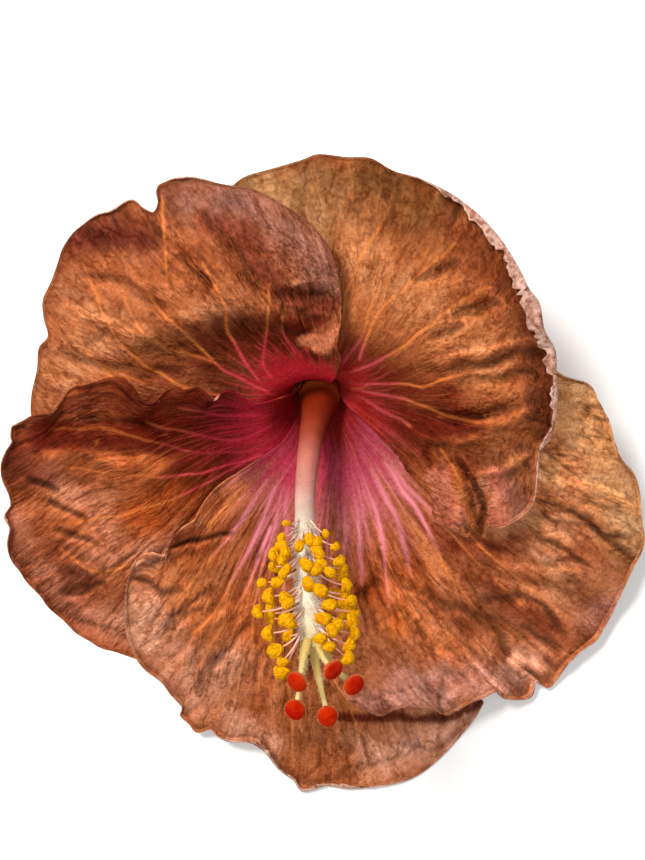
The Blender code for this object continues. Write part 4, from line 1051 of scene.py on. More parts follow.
def face_heights(name, number, x, y, a, o, face_height):
    """Height of the open petal: the bloom's face, the lap over its neighbours and its own folds."""
    tuck = tuck_at(RIM_HEIGHT)
    lift = tuck + (LIFT_AT_MARGIN - tuck) * np.minimum(1.0, 2 * o)
    lift = lift * np.where(a < 0.5, 1 + (UNDERLAP - 1) * smoothstep(0.0, 0.2, o), 1.0)
    z = face_height(x, y) + lift * (2 * a - 1) + relief(name, number, x, y, a, o)
    return np.maximum(z, LOWEST_PETAL_Z)


def open_rows(name, number, across, face_height, turn, width):
    """The petal's rows over the open face and over the margin's curl, written as the tube's rows."""
    petal = PETALS[name]
    outward = np.linspace(0.0, 1.0, FACE_ROWS + 1)
    plan = face_plan(petal, across, outward)
    last_stretch = plan[:, -1] - plan[:, -1 - STRETCH_ROWS]
    length = np.linalg.norm(last_stretch, axis=1)
    direction = last_stretch / length[:, None]
    out, up = curl_steps(width, turn)
    plan = pulled_in(plan, outward, out.max(axis=1) / (length * FACE_ROWS / STRETCH_ROWS))
    x, y = plan[..., 0], plan[..., 1]
    a = np.broadcast_to(across[:, None], x.shape)
    o = np.broadcast_to(outward, x.shape)
    z = face_heights(name, number, x, y, a, o, face_height)
    face = seen(x, y, z)
    rim = claw_point(petal, across, RIM_HEIGHT)
    face = face + (rim[:, None] - face[:, :1]) * (1 - smoothstep(0.0, 0.28, o))[..., None]
    fine, broad = cavity(z)
    # Painted shade in the hollows of the relief and painted light on its rises
    shade = 1 + (FINE_SHADE * fine + BROAD_SHADE * broad) * smoothstep(0.05, 0.3, o)
    spread = np.hypot(np.gradient(x, axis=0), np.gradient(y, axis=0)) * ACROSS
    paint = petal_paint(name, number, x, y, a, o, spread)
    paint[..., :3] *= shade[..., None]
    for k in range(FACE_ROWS + 1):
        yield face[:, k], paint[:, k], outward[k]
    for k in range(1, CURL_ROWS + 1):
        x_out, y_out = plan[:, -1].T + direction.T * out[:, k]
        z_out = np.maximum(z[:, -1] + up[:, k], LOWEST_PETAL_Z)
        paint = petal_paint(name, number, x_out, y_out, across, 0 * across + 1.0, spread[:, -1])
        yield seen(x_out, y_out, z_out), paint, 1 + 0.1 * k / CURL_ROWS


def petal_grid(name, number, face_height):
    """Points, colours and grain of a petal's face in rows from the claw to the margin, how far into the
    curl each row lies, and the curl's turn in degrees along the margin."""
    across = np.linspace(0.0, 1.0, ACROSS + 1)
    width, turn = curl_at(name, across)
    rows = [*tube_rows(name, number, across), *open_rows(name, number, across, face_height, turn, width)]
    points, paints, outwards = zip(*rows)
    grains = [np.stack(np.broadcast_arrays(across, o, number), axis=-1) for o in outwards]
    rolled = np.concatenate([np.zeros(TUBE_ROWS + FACE_ROWS), np.linspace(0.0, 1.0, CURL_ROWS + 1)])
    return np.array(points), np.array(paints), np.array(grains), rolled, np.degrees(turn)


def flared(grid):
    """The grid with its rows round the rim of the tube smoothed along each column."""
    near = slice(TUBE_ROWS - ROWS_BEFORE_RIM, TUBE_ROWS + ROWS_AFTER_RIM)
    lengths = np.linalg.norm(np.diff(grid, axis=0, prepend=grid[:1]), axis=2)
    along = np.cumsum(lengths, axis=0)
    along = along - along[TUBE_ROWS]
    soft = FLARE * (1 - smoothstep(0.3 * FLARE_REACH, FLARE_REACH, np.abs(along[near]))) + SOFTEST
    weights = np.exp(-0.5 * ((along[near][:, None] - along[None]) / soft[:, None])**2) * lengths[None]
    result = grid.copy()
    blurred = np.einsum("kjc,jcd->kcd", weights, grid) / weights.sum(axis=1)[..., None]
    share = smoothstep(0.05, 0.6, soft / FLARE)[..., None]
    result[near] = grid[near] * (1 - share) + blurred * share
    return result


def normals_of(grid):
    """Unit normals of a grid of points."""
    normal = np.cross(np.gradient(grid, axis=1), np.gradient(grid, axis=0))
    return normal / np.maximum(np.linalg.norm(normal, axis=-1, keepdims=True), TINY)


def add_mesh(name, points, faces, materials, face_materials=None):
    """A mesh object from points in mm before the shift to the bloom's middle."""
    mesh = bpy.data.meshes.new(name)
    shifted = (np.asarray(points, float).reshape(-1, 3) - np.array(MIDDLE)) * MM
    mesh.from_pydata(shifted.tolist(), [], faces)
    for one in materials:
        mesh.materials.append(one)
    if face_materials is not None:
        mesh.polygons.foreach_set("material_index", np.asarray(face_materials, np.int32))
    mesh.shade_smooth()
    obj = bpy.data.objects.new(name, mesh)
    bpy.context.scene.collection.objects.link(obj)
    return obj


def set_attribute(obj, name, kind, values):
    """Gives each point of a mesh its own value, for the materials."""
    attribute = obj.data.attributes.new(name, kind, "POINT")
    key = {"FLOAT_COLOR": "color", "FLOAT_VECTOR": "vector", "FLOAT": "value"}[kind]
    attribute.data.foreach_set(key, np.asarray(values, np.float32).ravel())


def set_paint(obj, colours):
    """Gives each point of a mesh its colour."""
    colours = np.asarray(colours, float).reshape(-1, 3)
    set_attribute(obj, "paint", "FLOAT_COLOR", np.concatenate([colours, np.ones((len(colours), 1))], 1))


def stand_in(obj, node):
    """Ties a piece to the CAD node that it shows."""
    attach(obj, "root")
    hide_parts(node)


def grid_faces(rows, columns, start, flip):
    """Quads between the points of a grid, the first of which has the number start."""
    j, i = np.meshgrid(np.arange(rows - 1), np.arange(columns - 1), indexing="ij")
    near = start + j * columns + i
    quads = np.stack([near, near + 1, near + columns + 1, near + columns], -1).reshape(-1, 4)
    return quads[:, ::-1] if flip else quads


def sheet_faces(rows, columns, upward):
    """Faces of a thin closed sheet: its face, its back (after it in the points) and its edge."""
    count = rows * columns
    top = grid_faces(rows, columns, 0, flip=not upward)
    bottom = grid_faces(rows, columns, count, flip=upward)
    border = np.concatenate([np.arange(columns), np.arange(1, rows) * columns + columns - 1,
                             (rows - 1) * columns + np.arange(columns - 2, -1, -1),
                             np.arange(rows - 2, 0, -1) * columns])
    after = np.roll(border, -1)
    edge = np.stack([border, border + count, after + count, after], -1)
    return np.concatenate([top, bottom, edge if upward else edge[:, ::-1]]).tolist()


def back_colours(paint, grid, number, outwards, in_curl):
    """Colours of a petal's back: pale and ribbed, with a mottled edge where the margin rolls over."""
    rows, columns = grid.shape[:2]
    share = np.broadcast_to(np.linspace(0, 1, columns), (rows, columns))
    blotch = 1 + 0.08 * layered_noise(grid[..., 0] / 6, grid[..., 1] / 6)
    ribs = 0.5 + 0.5 * noise(share * 40, outwards * 3)
    back = mix(PETAL_BACK * blotch[..., None], VEIN_WARM, 0.35 * smoothstep(0.5, 0.9, ribs))
    mottle = noise(share * 160, outwards * 60 + number)
    edge = mix(np.broadcast_to(PALE_EDGE, paint.shape), TINTS["rose"] * 0.6, smoothstep(0.0, 0.7, mottle))
    back = mix(back, edge, 0.9 * smoothstep(0.0, 0.2, in_curl))
    return mix(back, 0.8 * paint, smoothstep(0.97, 0.985, np.abs(2 * share - 1)))


def add_petal(name, number, face_height, material):
    """A thin closed sheet, painted on its face and its back."""
    grid, paint, grain, rolled, turn = petal_grid(name, number, face_height)
    grid = flared(grid)
    rows, columns = grid.shape[:2]
    normal = normals_of(grid)
    upward = np.median(normal[TUBE_ROWS:TUBE_ROWS + FACE_ROWS, :, 2]) > 0
    under = grid - normal * (PETAL_THICKNESS if upward else -PETAL_THICKNESS)
    under[..., 2] = np.maximum(under[..., 2], LOWEST_PETAL_Z - PETAL_THICKNESS)
    points = np.concatenate([grid.reshape(-1, 3), under.reshape(-1, 3)])
    obj = add_mesh(name + "_skin", points, sheet_faces(rows, columns, upward), [material])
    veins = paint[..., 3]
    face = mix(paint[..., :3], PALE_EDGE, (0.2 * smoothstep(0.55, 1.0, rolled))[:, None])
    in_curl = rolled[:, None] * smoothstep(*CURLED_FROM_TO, turn)
    back = back_colours(face, grid, number, grain[..., 1], in_curl)
    set_paint(obj, np.concatenate([face.reshape(-1, 3), back.reshape(-1, 3)]))
    set_attribute(obj, "grain", "FLOAT_VECTOR", np.concatenate([grain.reshape(-1, 3)] * 2))
    set_attribute(obj, "vein", "FLOAT", np.concatenate([veins.ravel(), 0 * veins.ravel()]))
    stand_in(obj, name)


class Nodes:
    """Small helper that builds one node material."""

    def __init__(self, name):
        self.material = bpy.data.materials.new(name)
        self.material.use_nodes = True
        self.tree = self.material.node_tree
        self.shader = self.tree.nodes["Principled BSDF"]
        self.shader.inputs["Metallic"].default_value = 0.0
        self.shader.inputs["Specular IOR Level"].default_value = SPECULAR

    def put(self, value, socket):
        """Links a socket, or sets its value."""
        if isinstance(value, bpy.types.NodeSocket):
            self.tree.links.new(value, socket)
        else:
            socket.default_value = value

    def new(self, kind, **inputs):
        node = self.tree.nodes.new(kind)
        for key, value in inputs.items():
            self.put(value, node.inputs[key.replace("_", " ")])
        return node

    def attribute(self, name, output):
        node = self.tree.nodes.new("ShaderNodeAttribute")
        node.attribute_name = name
        return node.outputs[output]

    def place(self):
        return self.tree.nodes.new("ShaderNodeTexCoord").outputs["Object"]

    def stretched(self, vector, *scales):
        node = self.tree.nodes.new("ShaderNodeVectorMath")
        node.operation = "MULTIPLY"
        self.put(vector, node.inputs[0])
        self.put(scales, node.inputs[1])
        return node.outputs["Vector"]

    def part(self, vector, axis):
        return self.new("ShaderNodeSeparateXYZ", Vector=vector).outputs[axis]

    def noise(self, vector, scale=1.0, detail=3.0, roughness=0.55):
        return self.new("ShaderNodeTexNoise", Vector=vector, Scale=scale, Detail=detail,
                        Roughness=roughness).outputs["Fac"]

    def ramp(self, value, low, high, start=0.0, end=1.0):
        return self.new("ShaderNodeMapRange", Value=value, From_Min=low, From_Max=high, To_Min=start,
                        To_Max=end).outputs["Result"]

    def math(self, operation, first, second=0.0):
        node = self.tree.nodes.new("ShaderNodeMath")
        node.operation = operation
        self.put(first, node.inputs[0])
        self.put(second, node.inputs[1])
        return node.outputs[0]

    def times(self, first, second):
        return self.math("MULTIPLY", first, second)

    def plus(self, first, second):
        return self.math("ADD", first, second)

    def creased(self, value, reach):
        """From 0 along sharp lines where the noise crosses its middle to 1 at a distance from them."""
        off = self.math("ABSOLUTE", self.math("SUBTRACT", value, 0.5))
        return self.ramp(off, 0.0, reach)

    def blend(self, share, first, second, kind="MIX"):
        node = self.tree.nodes.new("ShaderNodeMix")
        node.data_type = "RGBA"
        node.blend_type = kind
        for k, value in ((0, share), (6, first), (7, second)):
            self.put(value, node.inputs[k])
        return node.outputs[2]

    def toned(self, share, colour, factors):
        """The colour times these factors, where share is 1: darker below one and lighter above it."""
        return self.blend(share, colour, (*factors, 1.0), "MULTIPLY")

    def finish(self, colour, roughness, height=None, distance=0.0002):
        self.put(colour, self.shader.inputs["Base Color"])
        self.put(roughness, self.shader.inputs["Roughness"])
        if height is not None:
            bump = self.new("ShaderNodeBump", Height=height, Distance=distance, Strength=1.0)
            self.put(bump.outputs["Normal"], self.shader.inputs["Normal"])
        return self.material


def petal_material():
    """Wrinkles, pleats, hatching and crumbs that follow the petal's grain, over its painted colours."""
    m = Nodes("petal")
    paint = m.attribute("paint", "Color")
    grain = m.attribute("grain", "Vector")
    place = m.place()
    open_part = m.ramp(m.part(grain, "Y"), 0.12, 0.45, 0.15, 1.0)
    patches = m.ramp(m.noise(place, 55.0, 2.0), 0.44, 0.60, 0.06, 1.0)
    broken = m.times(m.ramp(m.noise(place, 150.0, 2.0), 0.45, 0.56), open_part)
    pleats = m.creased(m.noise(m.stretched(grain, 34.0, 8.0, 3.0), detail=2.0), 0.12)
    wrinkle = m.noise(m.stretched(grain, 30.0, 9.0, 3.0), detail=5.0, roughness=0.66)
    crumple = m.noise(m.stretched(grain, 70.0, 30.0, 3.0), detail=3.0, roughness=0.6)
    hatch = m.noise(m.stretched(grain, 190.0, 26.0, 3.0), detail=2.0)
    thread = m.creased(m.noise(m.stretched(grain, 30.0, 1.5, 3.0), detail=1.0), 0.010)
    crumb = m.noise(place, 1100.0, 2.0, 0.6)
    cloud = m.noise(place, 140.0, 3.0)
    in_patches = m.times(patches, open_part)
    # The darkening layers are painted shade in the low places of the same patterns that make the bump, and
    # the lightening ones painted light on their high places
    # Each layer: its pattern, the two values between which it fades and how strong it is at each, where it
    # shows, and the factors of red, green and blue
    layers = [
        (wrinkle, 0.34, 0.52, 0.80, 0.0, open_part, (0.60, 0.48, 0.36)),
        (wrinkle, 0.50, 0.62, 0.0, 1.0, open_part, (1.10, 1.22, 1.40)),
        (crumple, 0.36, 0.50, 0.55, 0.0, in_patches, (0.64, 0.50, 0.40)),
        (pleats, 0.0, 0.5, 0.80, 0.0, broken, (0.50, 0.36, 0.26)),
        (hatch, 0.36, 0.56, 0.40, 0.0, None, (0.70, 0.60, 0.52)),
        (crumb, 0.38, 0.50, 0.50, 0.0, None, (0.70, 0.62, 0.54)),
        (crumb, 0.50, 0.62, 0.0, 0.6, None, (1.16, 1.24, 1.34)),
    ]
    colour = paint
    for pattern, low, high, start, end, where, factors in layers:
        share = m.ramp(pattern, low, high, start, end)
        if where is not None:
            share = m.times(share, where)
        colour = m.toned(share, colour, factors)
    colour = m.blend(m.ramp(thread, 0.0, 1.0, 0.20, 0.0), colour, (*VEIN_WARM, 1.0))
    colour = m.toned(m.ramp(cloud, 0.35, 0.60, 0.12, 0.0), colour, (0.62, 0.52, 0.46))
    colour = m.blend(m.ramp(m.attribute("vein", "Fac"), 0.1, 0.8, 0.0, 0.9), colour, paint)
    height = m.times(m.plus(wrinkle, m.times(crumple, m.times(patches, 0.5))), open_part)
    height = m.plus(height, m.times(m.times(pleats, broken), FINE_BUMP))
    height = m.plus(height, m.times(m.plus(crumb, hatch), FINE_BUMP))
    return m.finish(colour, m.ramp(cloud, 0.3, 0.7, 0.55, 0.75), height, 0.0014)


def painted_material(name, mottle, grit, depth, roughness):
    """The piece's own colours with mottling and grit, both as counts in a metre; the depth is in metres."""
    m = Nodes(name)
    place = m.place()
    cloud = m.noise(place, mottle, 3.0)
    grain = m.noise(place, grit, 3.0, 0.65)
    paint = m.attribute("paint", "Color")
    colour = m.toned(m.ramp(cloud, 0.35, 0.6, 0.35, 0.0), paint, (0.70, 0.62, 0.52))
    colour = m.toned(m.ramp(grain, 0.35, 0.55, 0.30, 0.0), colour, (0.68, 0.60, 0.50))
    return m.finish(colour, m.ramp(cloud, 0.3, 0.7, roughness - 0.1, roughness + 0.1), grain, depth)


class Shape:
    """Points, faces, colours and materials of a piece while it is put together."""

    def __init__(self):
        self.points, self.faces, self.colours, self.slots = [], [], [], []
        self.count = 0

    def add(self, points, faces, colours, slot=0):
        points = np.asarray(points, float).reshape(-1, 3)
        self.faces += [[self.count + i for i in face] for face in faces]
        self.slots += [slot] * len(faces)
        self.points.append(points)
        self.colours.append(np.broadcast_to(colours, points.shape))
        self.count += len(points)

    def build(self, name, node, slot, materials):
        obj = add_mesh(name, np.concatenate(self.points), self.faces, materials, self.slots)
        set_paint(obj, np.concatenate(self.colours))
        stand_in(obj, node)


def ring_quads(count, sides):
    """Quads between rings of points, each ring closed on itself."""
    faces = []
    for j in range(count - 1):
        for i in range(sides):
            after = (i + 1) % sides
            faces.append((j * sides + i, j * sides + after, (j + 1) * sides + after, (j + 1) * sides + i))
    return faces


def ring_faces(count, sides):
    """Quads between rings, and fans that close both ends on two points that come after the rings."""
    faces = ring_quads(count, sides)
    top = (count - 1) * sides
    for i in range(sides):
        after = (i + 1) % sides
        faces.append((count * sides, after, i))
        faces.append((count * sides + 1, top + i, top + after))
    return faces


def rings_round(middles, radii, sides):
    """Rings round a line of points, the way out from the line at each, and the way on along the line.

    radii has one value a ring, or one row a ring with a value for each side.
    """
    turns = turns_round(sides)[:, None]
    side = np.array([1.0, 0.0, 0.0])
    rings, outwards, forwards = [], [], []
    for middle, forward, radius in zip(middles, unit(np.gradient(middles, axis=0)), radii):
        side = unit(side - forward * (side @ forward))
        outward = side * np.cos(turns) + np.cross(forward, side) * np.sin(turns)
        rings.append(middle + outward * np.reshape(radius, (-1, 1)))
        outwards.append(outward)
        forwards.append(forward)
    return np.array(rings), np.array(outwards), np.array(forwards)


def add_rod(shape, middles, radii, sides, colours, bulge=0.25):
    """A closed round rod; colours has one row a ring, or one row a ring and side."""
    rings, outwards, forwards = rings_round(middles, radii, sides)
    first = middles[0] - forwards[0] * bulge * np.mean(radii[0])
    last = middles[-1] + forwards[-1] * bulge * np.mean(radii[-1])
    points = np.concatenate([rings.reshape(-1, 3), [first, last]])
    if colours.ndim == 2:
        colours = np.repeat(colours[:, None], sides, axis=1)
    tints = np.concatenate([colours.reshape(-1, 3), [colours[0, 0], colours[-1, 0]]])
    shape.add(points, ring_faces(len(rings), sides), tints)
    return rings, outwards, forwards


HAIR_SIDES = 3
# A direction that no hair has, how deep a hair stands in the skin, and its width half way up
HAIR_ASIDE = (0.3, 0.5, 0.81)
HAIR_DEPTH = 0.1
HAIR_NARROWING = 0.7


def add_hairs(shape, roots, ways, lengths, radius, colour, bend):
    """Thin pointed hairs: each is a three-sided spike that bends half way."""
    ways = unit(ways)
    across = unit(np.cross(ways, HAIR_ASIDE))
    other = np.cross(ways, across)
    half = roots + ways * lengths[:, None] * 0.5
    tip = half + (ways + bend) * lengths[:, None] * 0.5
    turns = turns_round(HAIR_SIDES)[:, None]
    round_it = across[:, None] * np.cos(turns) + other[:, None] * np.sin(turns)
    low = roots[:, None] - ways[:, None] * HAIR_DEPTH + round_it * radius
    high = half[:, None] + round_it * radius * HAIR_NARROWING
    points = np.concatenate([low, high, tip[:, None]], axis=1)
    pattern = []
    for i in range(HAIR_SIDES):
        after = (i + 1) % HAIR_SIDES
        pattern += [(i, after, HAIR_SIDES + after), (i, HAIR_SIDES + after, HAIR_SIDES + i),
                    (HAIR_SIDES + i, HAIR_SIDES + after, 2 * HAIR_SIDES)]
    size = 2 * HAIR_SIDES + 1
    faces = np.array(pattern)[None] + size * np.arange(len(roots))[:, None, None]
    shape.add(points, faces.reshape(-1, 3).tolist(), colour)


def add_rod_hairs(shape, rod, ring, lean, scatter, lengths, radius, colour, bend):
    """Hairs on a rod, one on each of these rings, leaning along it and scattered in their direction."""
    rings, outwards, forwards = rod
    side = random.integers(0, rings.shape[1], len(ring))
    ways = outwards[ring, side] + forwards[ring] * lean + random.normal(0.0, scatter, (len(ring), 3))
    add_hairs(shape, rings[ring, side], ways, random.uniform(*lengths, len(ring)), radius, colour, bend)


def colours_along(stops, where):
    """Colours between stops of (place, colour)."""
    places, colours = zip(*stops)
    return np.stack([np.interp(where, places, channel) for channel in zip(*colours)], axis=-1)


def column_line():
    """The column's middle line in space, and its radii."""
    x, y, z, radii = np.array(COLUMN).T
    return seen(x, y, z), radii


def fine_column(count):
    """This many evenly spaced points on the column's middle line, and its radius at each."""
    line, radii = column_line()
    shares = np.linspace(0.0, 1.0, count)
    return smooth_line(line, shares), np.interp(shares, line_shares(line), radii)


COLUMN_SIDES = 28
COLUMN_RINGS = 120
COLUMN_HAIRS = 1500
# The share of the column, from its tip down, that is hairy, and the power that sets more hairs near the tip
HAIRY_SHARE = 0.36
DENSER_AT_TIP = 1.3


def add_column(flesh):
    """The staminal column: a faintly ribbed tube with fine hairs on its upper part."""
    middles, girths = fine_column(COLUMN_RINGS)
    shares = np.linspace(0.0, 1.0, COLUMN_RINGS)
    turns = turns_round(COLUMN_SIDES)
    ribs = 0.018 * np.cos(5 * turns) + 0.02 * noise(turns * 1.6, shares[:, None] * 26)
    colours = colours_along(COLUMN_COLOURS, as_seen(middles)[:, 1])
    streaks = noise(turns * 3.2, shares[:, None] * 5)[..., None]
    colours = colours[:, None] * (1 + streaks * (0.02, 0.09, 0.09))
    # Painted light: towards its left and right edges the column is lightened, from about a third of the way
    # up
    painted_light_on_sides = 0.22 * np.abs(np.cos(turns)) * smoothstep(0.3, 0.6, shares)[:, None]
    shape = Shape()
    rod = add_rod(shape, middles, girths[:, None] * (1 + ribs), COLUMN_SIDES,
                  colours * (1 + painted_light_on_sides[..., None]))
    down = HAIRY_SHARE * random.uniform(0.0, 1.0, COLUMN_HAIRS)**DENSER_AT_TIP
    ring = (COLUMN_RINGS * (1 - down)).astype(int) - 1
    add_rod_hairs(shape, rod, ring, lean=0.35, scatter=0.22, lengths=(0.9, 2.3), radius=0.04,
                  colour=srgb(240, 236, 222), bend=(0.0, -0.3, 0.1))
    shape.build("staminal_column_skin", "staminal_column", "column", [flesh])


# Places along the column among which the root of a filament is chosen, how deep in the skin the root lies,
# and the least that an anther stands before or behind the column
COLUMN_PLACES = 121
FILAMENT_DEPTH = 0.1
LEAST_RISE = 2.0


def stamen_root(y, towards):
    """A place on the column's skin that is seen at a height y, on the side of a point."""
    middles, girths = fine_column(COLUMN_PLACES)
    at = min(int(np.argmin(np.abs(as_seen(middles)[:, 1] - y))), COLUMN_PLACES - 2)
    forward = unit(middles[at + 1] - middles[at])
    outward = towards - middles[at]
    outward = unit(outward - forward * (outward @ forward))
    return middles[at] + outward * (girths[at] - FILAMENT_DEPTH), forward


def anther_place(x, y, side):
    """The middle of an anther that is seen at (x, y), before or behind the column."""
    middles, _ = fine_column(COLUMN_PLACES)
    beside = middles[int(np.argmin(np.abs(as_seen(middles)[:, 1] - y)))]
    aside = x - as_seen(beside)[0]
    rise = math.sqrt(max(STAMEN_REACH**2 - aside**2, LEAST_RISE**2))
    return seen(x, y, beside[2] + side * 0.8 * rise)


def unit_ball():
    """Points and faces of a fine ball of triangles."""
    shape = bmesh.new()
    bmesh.ops.create_icosphere(shape, subdivisions=4, radius=1.0)
    points = np.array([v.co[:] for v in shape.verts])
    faces = [[v.index for v in face.verts] for face in shape.faces]
    shape.free()
    return points, faces


BALL_POINTS, BALL_FACES = unit_ball()
FILAMENT_RINGS = 12
FILAMENT_SIDES = 7
FILAMENT_COLOURS = [(0.0, srgb(236, 214, 196)), (0.6, srgb(232, 176, 158)), (1.0, srgb(230, 160, 120))]
# An anther's length, width and thickness beside its radius, and the radii of the added ones
ANTHER_SHAPE = (1.20, 0.80, 0.86)
MORE_ANTHER_RADII = (1.15, 1.45)
# Grains of pollen on a head, and how wide each is
POLLEN_GRAINS = 150
GRAIN_SPREAD = 0.010
# The pollen's colour: darker between the grains as painted shade, lighter on the grains as painted light
POLLEN_SHADED = srgb(214, 140, 4)
POLLEN_LIT = srgb(238, 176, 12)


def add_anther(shape, middle, radius, forward):
    """A kidney-shaped pollen head: long across its filament, bent, grooved and covered in grains."""
    p = BALL_POINTS * ANTHER_SHAPE
    p[:, 1] += 0.36 * p[:, 0]**2 - 0.15
    groove = np.exp(-((BALL_POINTS[:, 1] + 0.15) / 0.16)**2) * np.clip(BALL_POINTS[:, 2], 0.0, 1.0)
    p = p - BALL_POINTS * (0.16 * groove)[:, None]
    lumps = 0.5 + 0.5 * np.sin(BALL_POINTS @ random.normal(0.0, 4.0, (3, 3))).mean(axis=1)
    grains = unit(random.normal(0.0, 1.0, (POLLEN_GRAINS, 3)))
    near_grain = np.exp((np.max(BALL_POINTS @ grains.T, axis=1) - 1) / GRAIN_SPREAD)
    p = p * (0.95 + 0.14 * lumps + 0.11 * near_grain)[:, None]
    across = unit(np.cross(forward, random.normal(0.0, 1.0, 3)))
    axes = np.stack([across, -forward, np.cross(forward, across)])
    # Lighter on the raised grains as painted light, darker between them as painted shade, and darker in the
    # groove
    colour = mix(POLLEN_SHADED, POLLEN_LIT, smoothstep(0.1, 0.7, near_grain))
    colour = colour * (1 - 0.35 * groove)[:, None] * random.uniform(0.86, 1.08, (len(p), 1))
    shape.add(middle + radius * 1.08 * (p @ axes), BALL_FACES, colour, slot=1)


def add_stamen(shape, x, y, radius, side):
    """One filament from the column's skin, bowed outwards, with its anther."""
    middle = anther_place(x, y, side)
    lowest, highest = ROOTS_FROM_TO
    root, forward = stamen_root(min(max(y + ROOT_ABOVE, lowest), highest), middle)
    bow = forward * 0.6 + np.array([0.0, 0.0, 0.3])
    line = even_line([root, root + (middle - root) * 0.5 + bow, middle], FILAMENT_RINGS)
    at = np.linspace(0.0, 1.0, FILAMENT_RINGS)
    add_rod(shape, line, FILAMENT_RADIUS * (0.95 - 0.30 * at), FILAMENT_SIDES,
            colours_along(FILAMENT_COLOURS, at))
    add_anther(shape, middle, radius, unit(line[-1] - line[-2]))


def add_stamens(flesh, pollen):
    """Each stamen as a piece of its own; the added anthers are part of the nearest one's piece."""
    shapes = [Shape() for _ in STAMENS]
    for shape, stamen in zip(shapes, STAMENS):
        add_stamen(shape, *stamen)
    for x, y in MORE_ANTHERS:
        nearest = min(range(len(STAMENS)), key=lambda k: math.hypot(STAMENS[k][0] - x, STAMENS[k][1] - y))
        add_stamen(shapes[nearest], x, y, random.uniform(*MORE_ANTHER_RADII), STAMENS[nearest][3])
    for number, shape in enumerate(shapes, 1):
        node = f"stamen_{number:02d}"
        shape.build(node + "_look", node, "stamen", [flesh, pollen])


STYLE_RINGS = 34
STYLE_SIDES = 12
STYLE_HAIRS = 130
STYLE_COLOURS = [(0.0, srgb(194, 166, 95)), (0.4, srgb(198, 172, 100)), (1.0, srgb(226, 204, 142))]


def style_line(degrees, half_way, middle, facing):
    """A style's middle line, from its seat at the tip of the column to its stigma's underside."""
    line, _ = column_line()
    forward = unit(line[-1] - line[-2])
    right = unit(np.array([1.0, 0.0, 0.0]) - forward * forward[0])
    upward = np.cross(forward, right)
    angle = math.radians(degrees)
    start = line[-1] + STYLE_CIRCLE * (right * math.cos(angle) + upward * math.sin(angle))
    start = start + forward * STYLE_SEAT * 0.2
    end = middle - facing * STIGMA_THICKNESS * 0.4
    return even_line([start, seen(*half_way), end], STYLE_RINGS)


def add_style(number, style, flesh, velvet):
    """A tapering style with fine hairs, and its stigma."""
    degrees, half_way, middle, facing = style
    middle = seen(*middle)
    facing = unit(np.array(facing))
    line = style_line(degrees, half_way, middle, facing)
    at = np.linspace(0.0, 1.0, STYLE_RINGS)
    girth = STYLE_RADIUS * (1.50 - 0.75 * smoothstep(0.0, 0.8, at) + 0.30 * smoothstep(0.85, 1.0, at))
    uneven = 1 + 0.05 * noise(turns_round(STYLE_SIDES) * 1.3 + number, at[:, None] * 14)
    shape = Shape()
    rod = add_rod(shape, line, girth[:, None] * uneven, STYLE_SIDES, colours_along(STYLE_COLOURS, at))
    ring = random.integers(2, STYLE_RINGS - 3, STYLE_HAIRS)
    add_rod_hairs(shape, rod, ring, lean=0.6, scatter=0.25, lengths=(0.4, 0.9), radius=0.045,
                  colour=srgb(238, 232, 190), bend=(0.0, -0.2, 0.2))
    shape.build(f"style_{number}_look", f"style_{number}", "style", [flesh])
    add_stigma(number, middle, facing, velvet)


STIGMA_SIDES = 44
STIGMA_RINGS = 24
STIGMA_HAIRS = 420
# A stigma from its underside to its top: height as a share of half its thickness, and share of its radius
STIGMA_PROFILE = [
    (-1.0, 0.34), (-0.86, 0.62), (-0.6, 0.84), (-0.25, 0.97), (0.1, 1.02), (0.45, 0.96), (0.72, 0.82),
    (0.90, 0.60), (0.99, 0.34), (1.03, 0.12),
]
STIGMA_UNDERSIDE = srgb(206, 112, 60)
STIGMA_TOP = srgb(172, 17, 2)
STIGMA_GLOW = srgb(208, 62, 10)
# Length and colour of the hairs of the fringe round the rim, and of those above it
FRINGE = (0.42, srgb(226, 152, 96))
VELVET_PILE = (0.28, srgb(192, 44, 6))


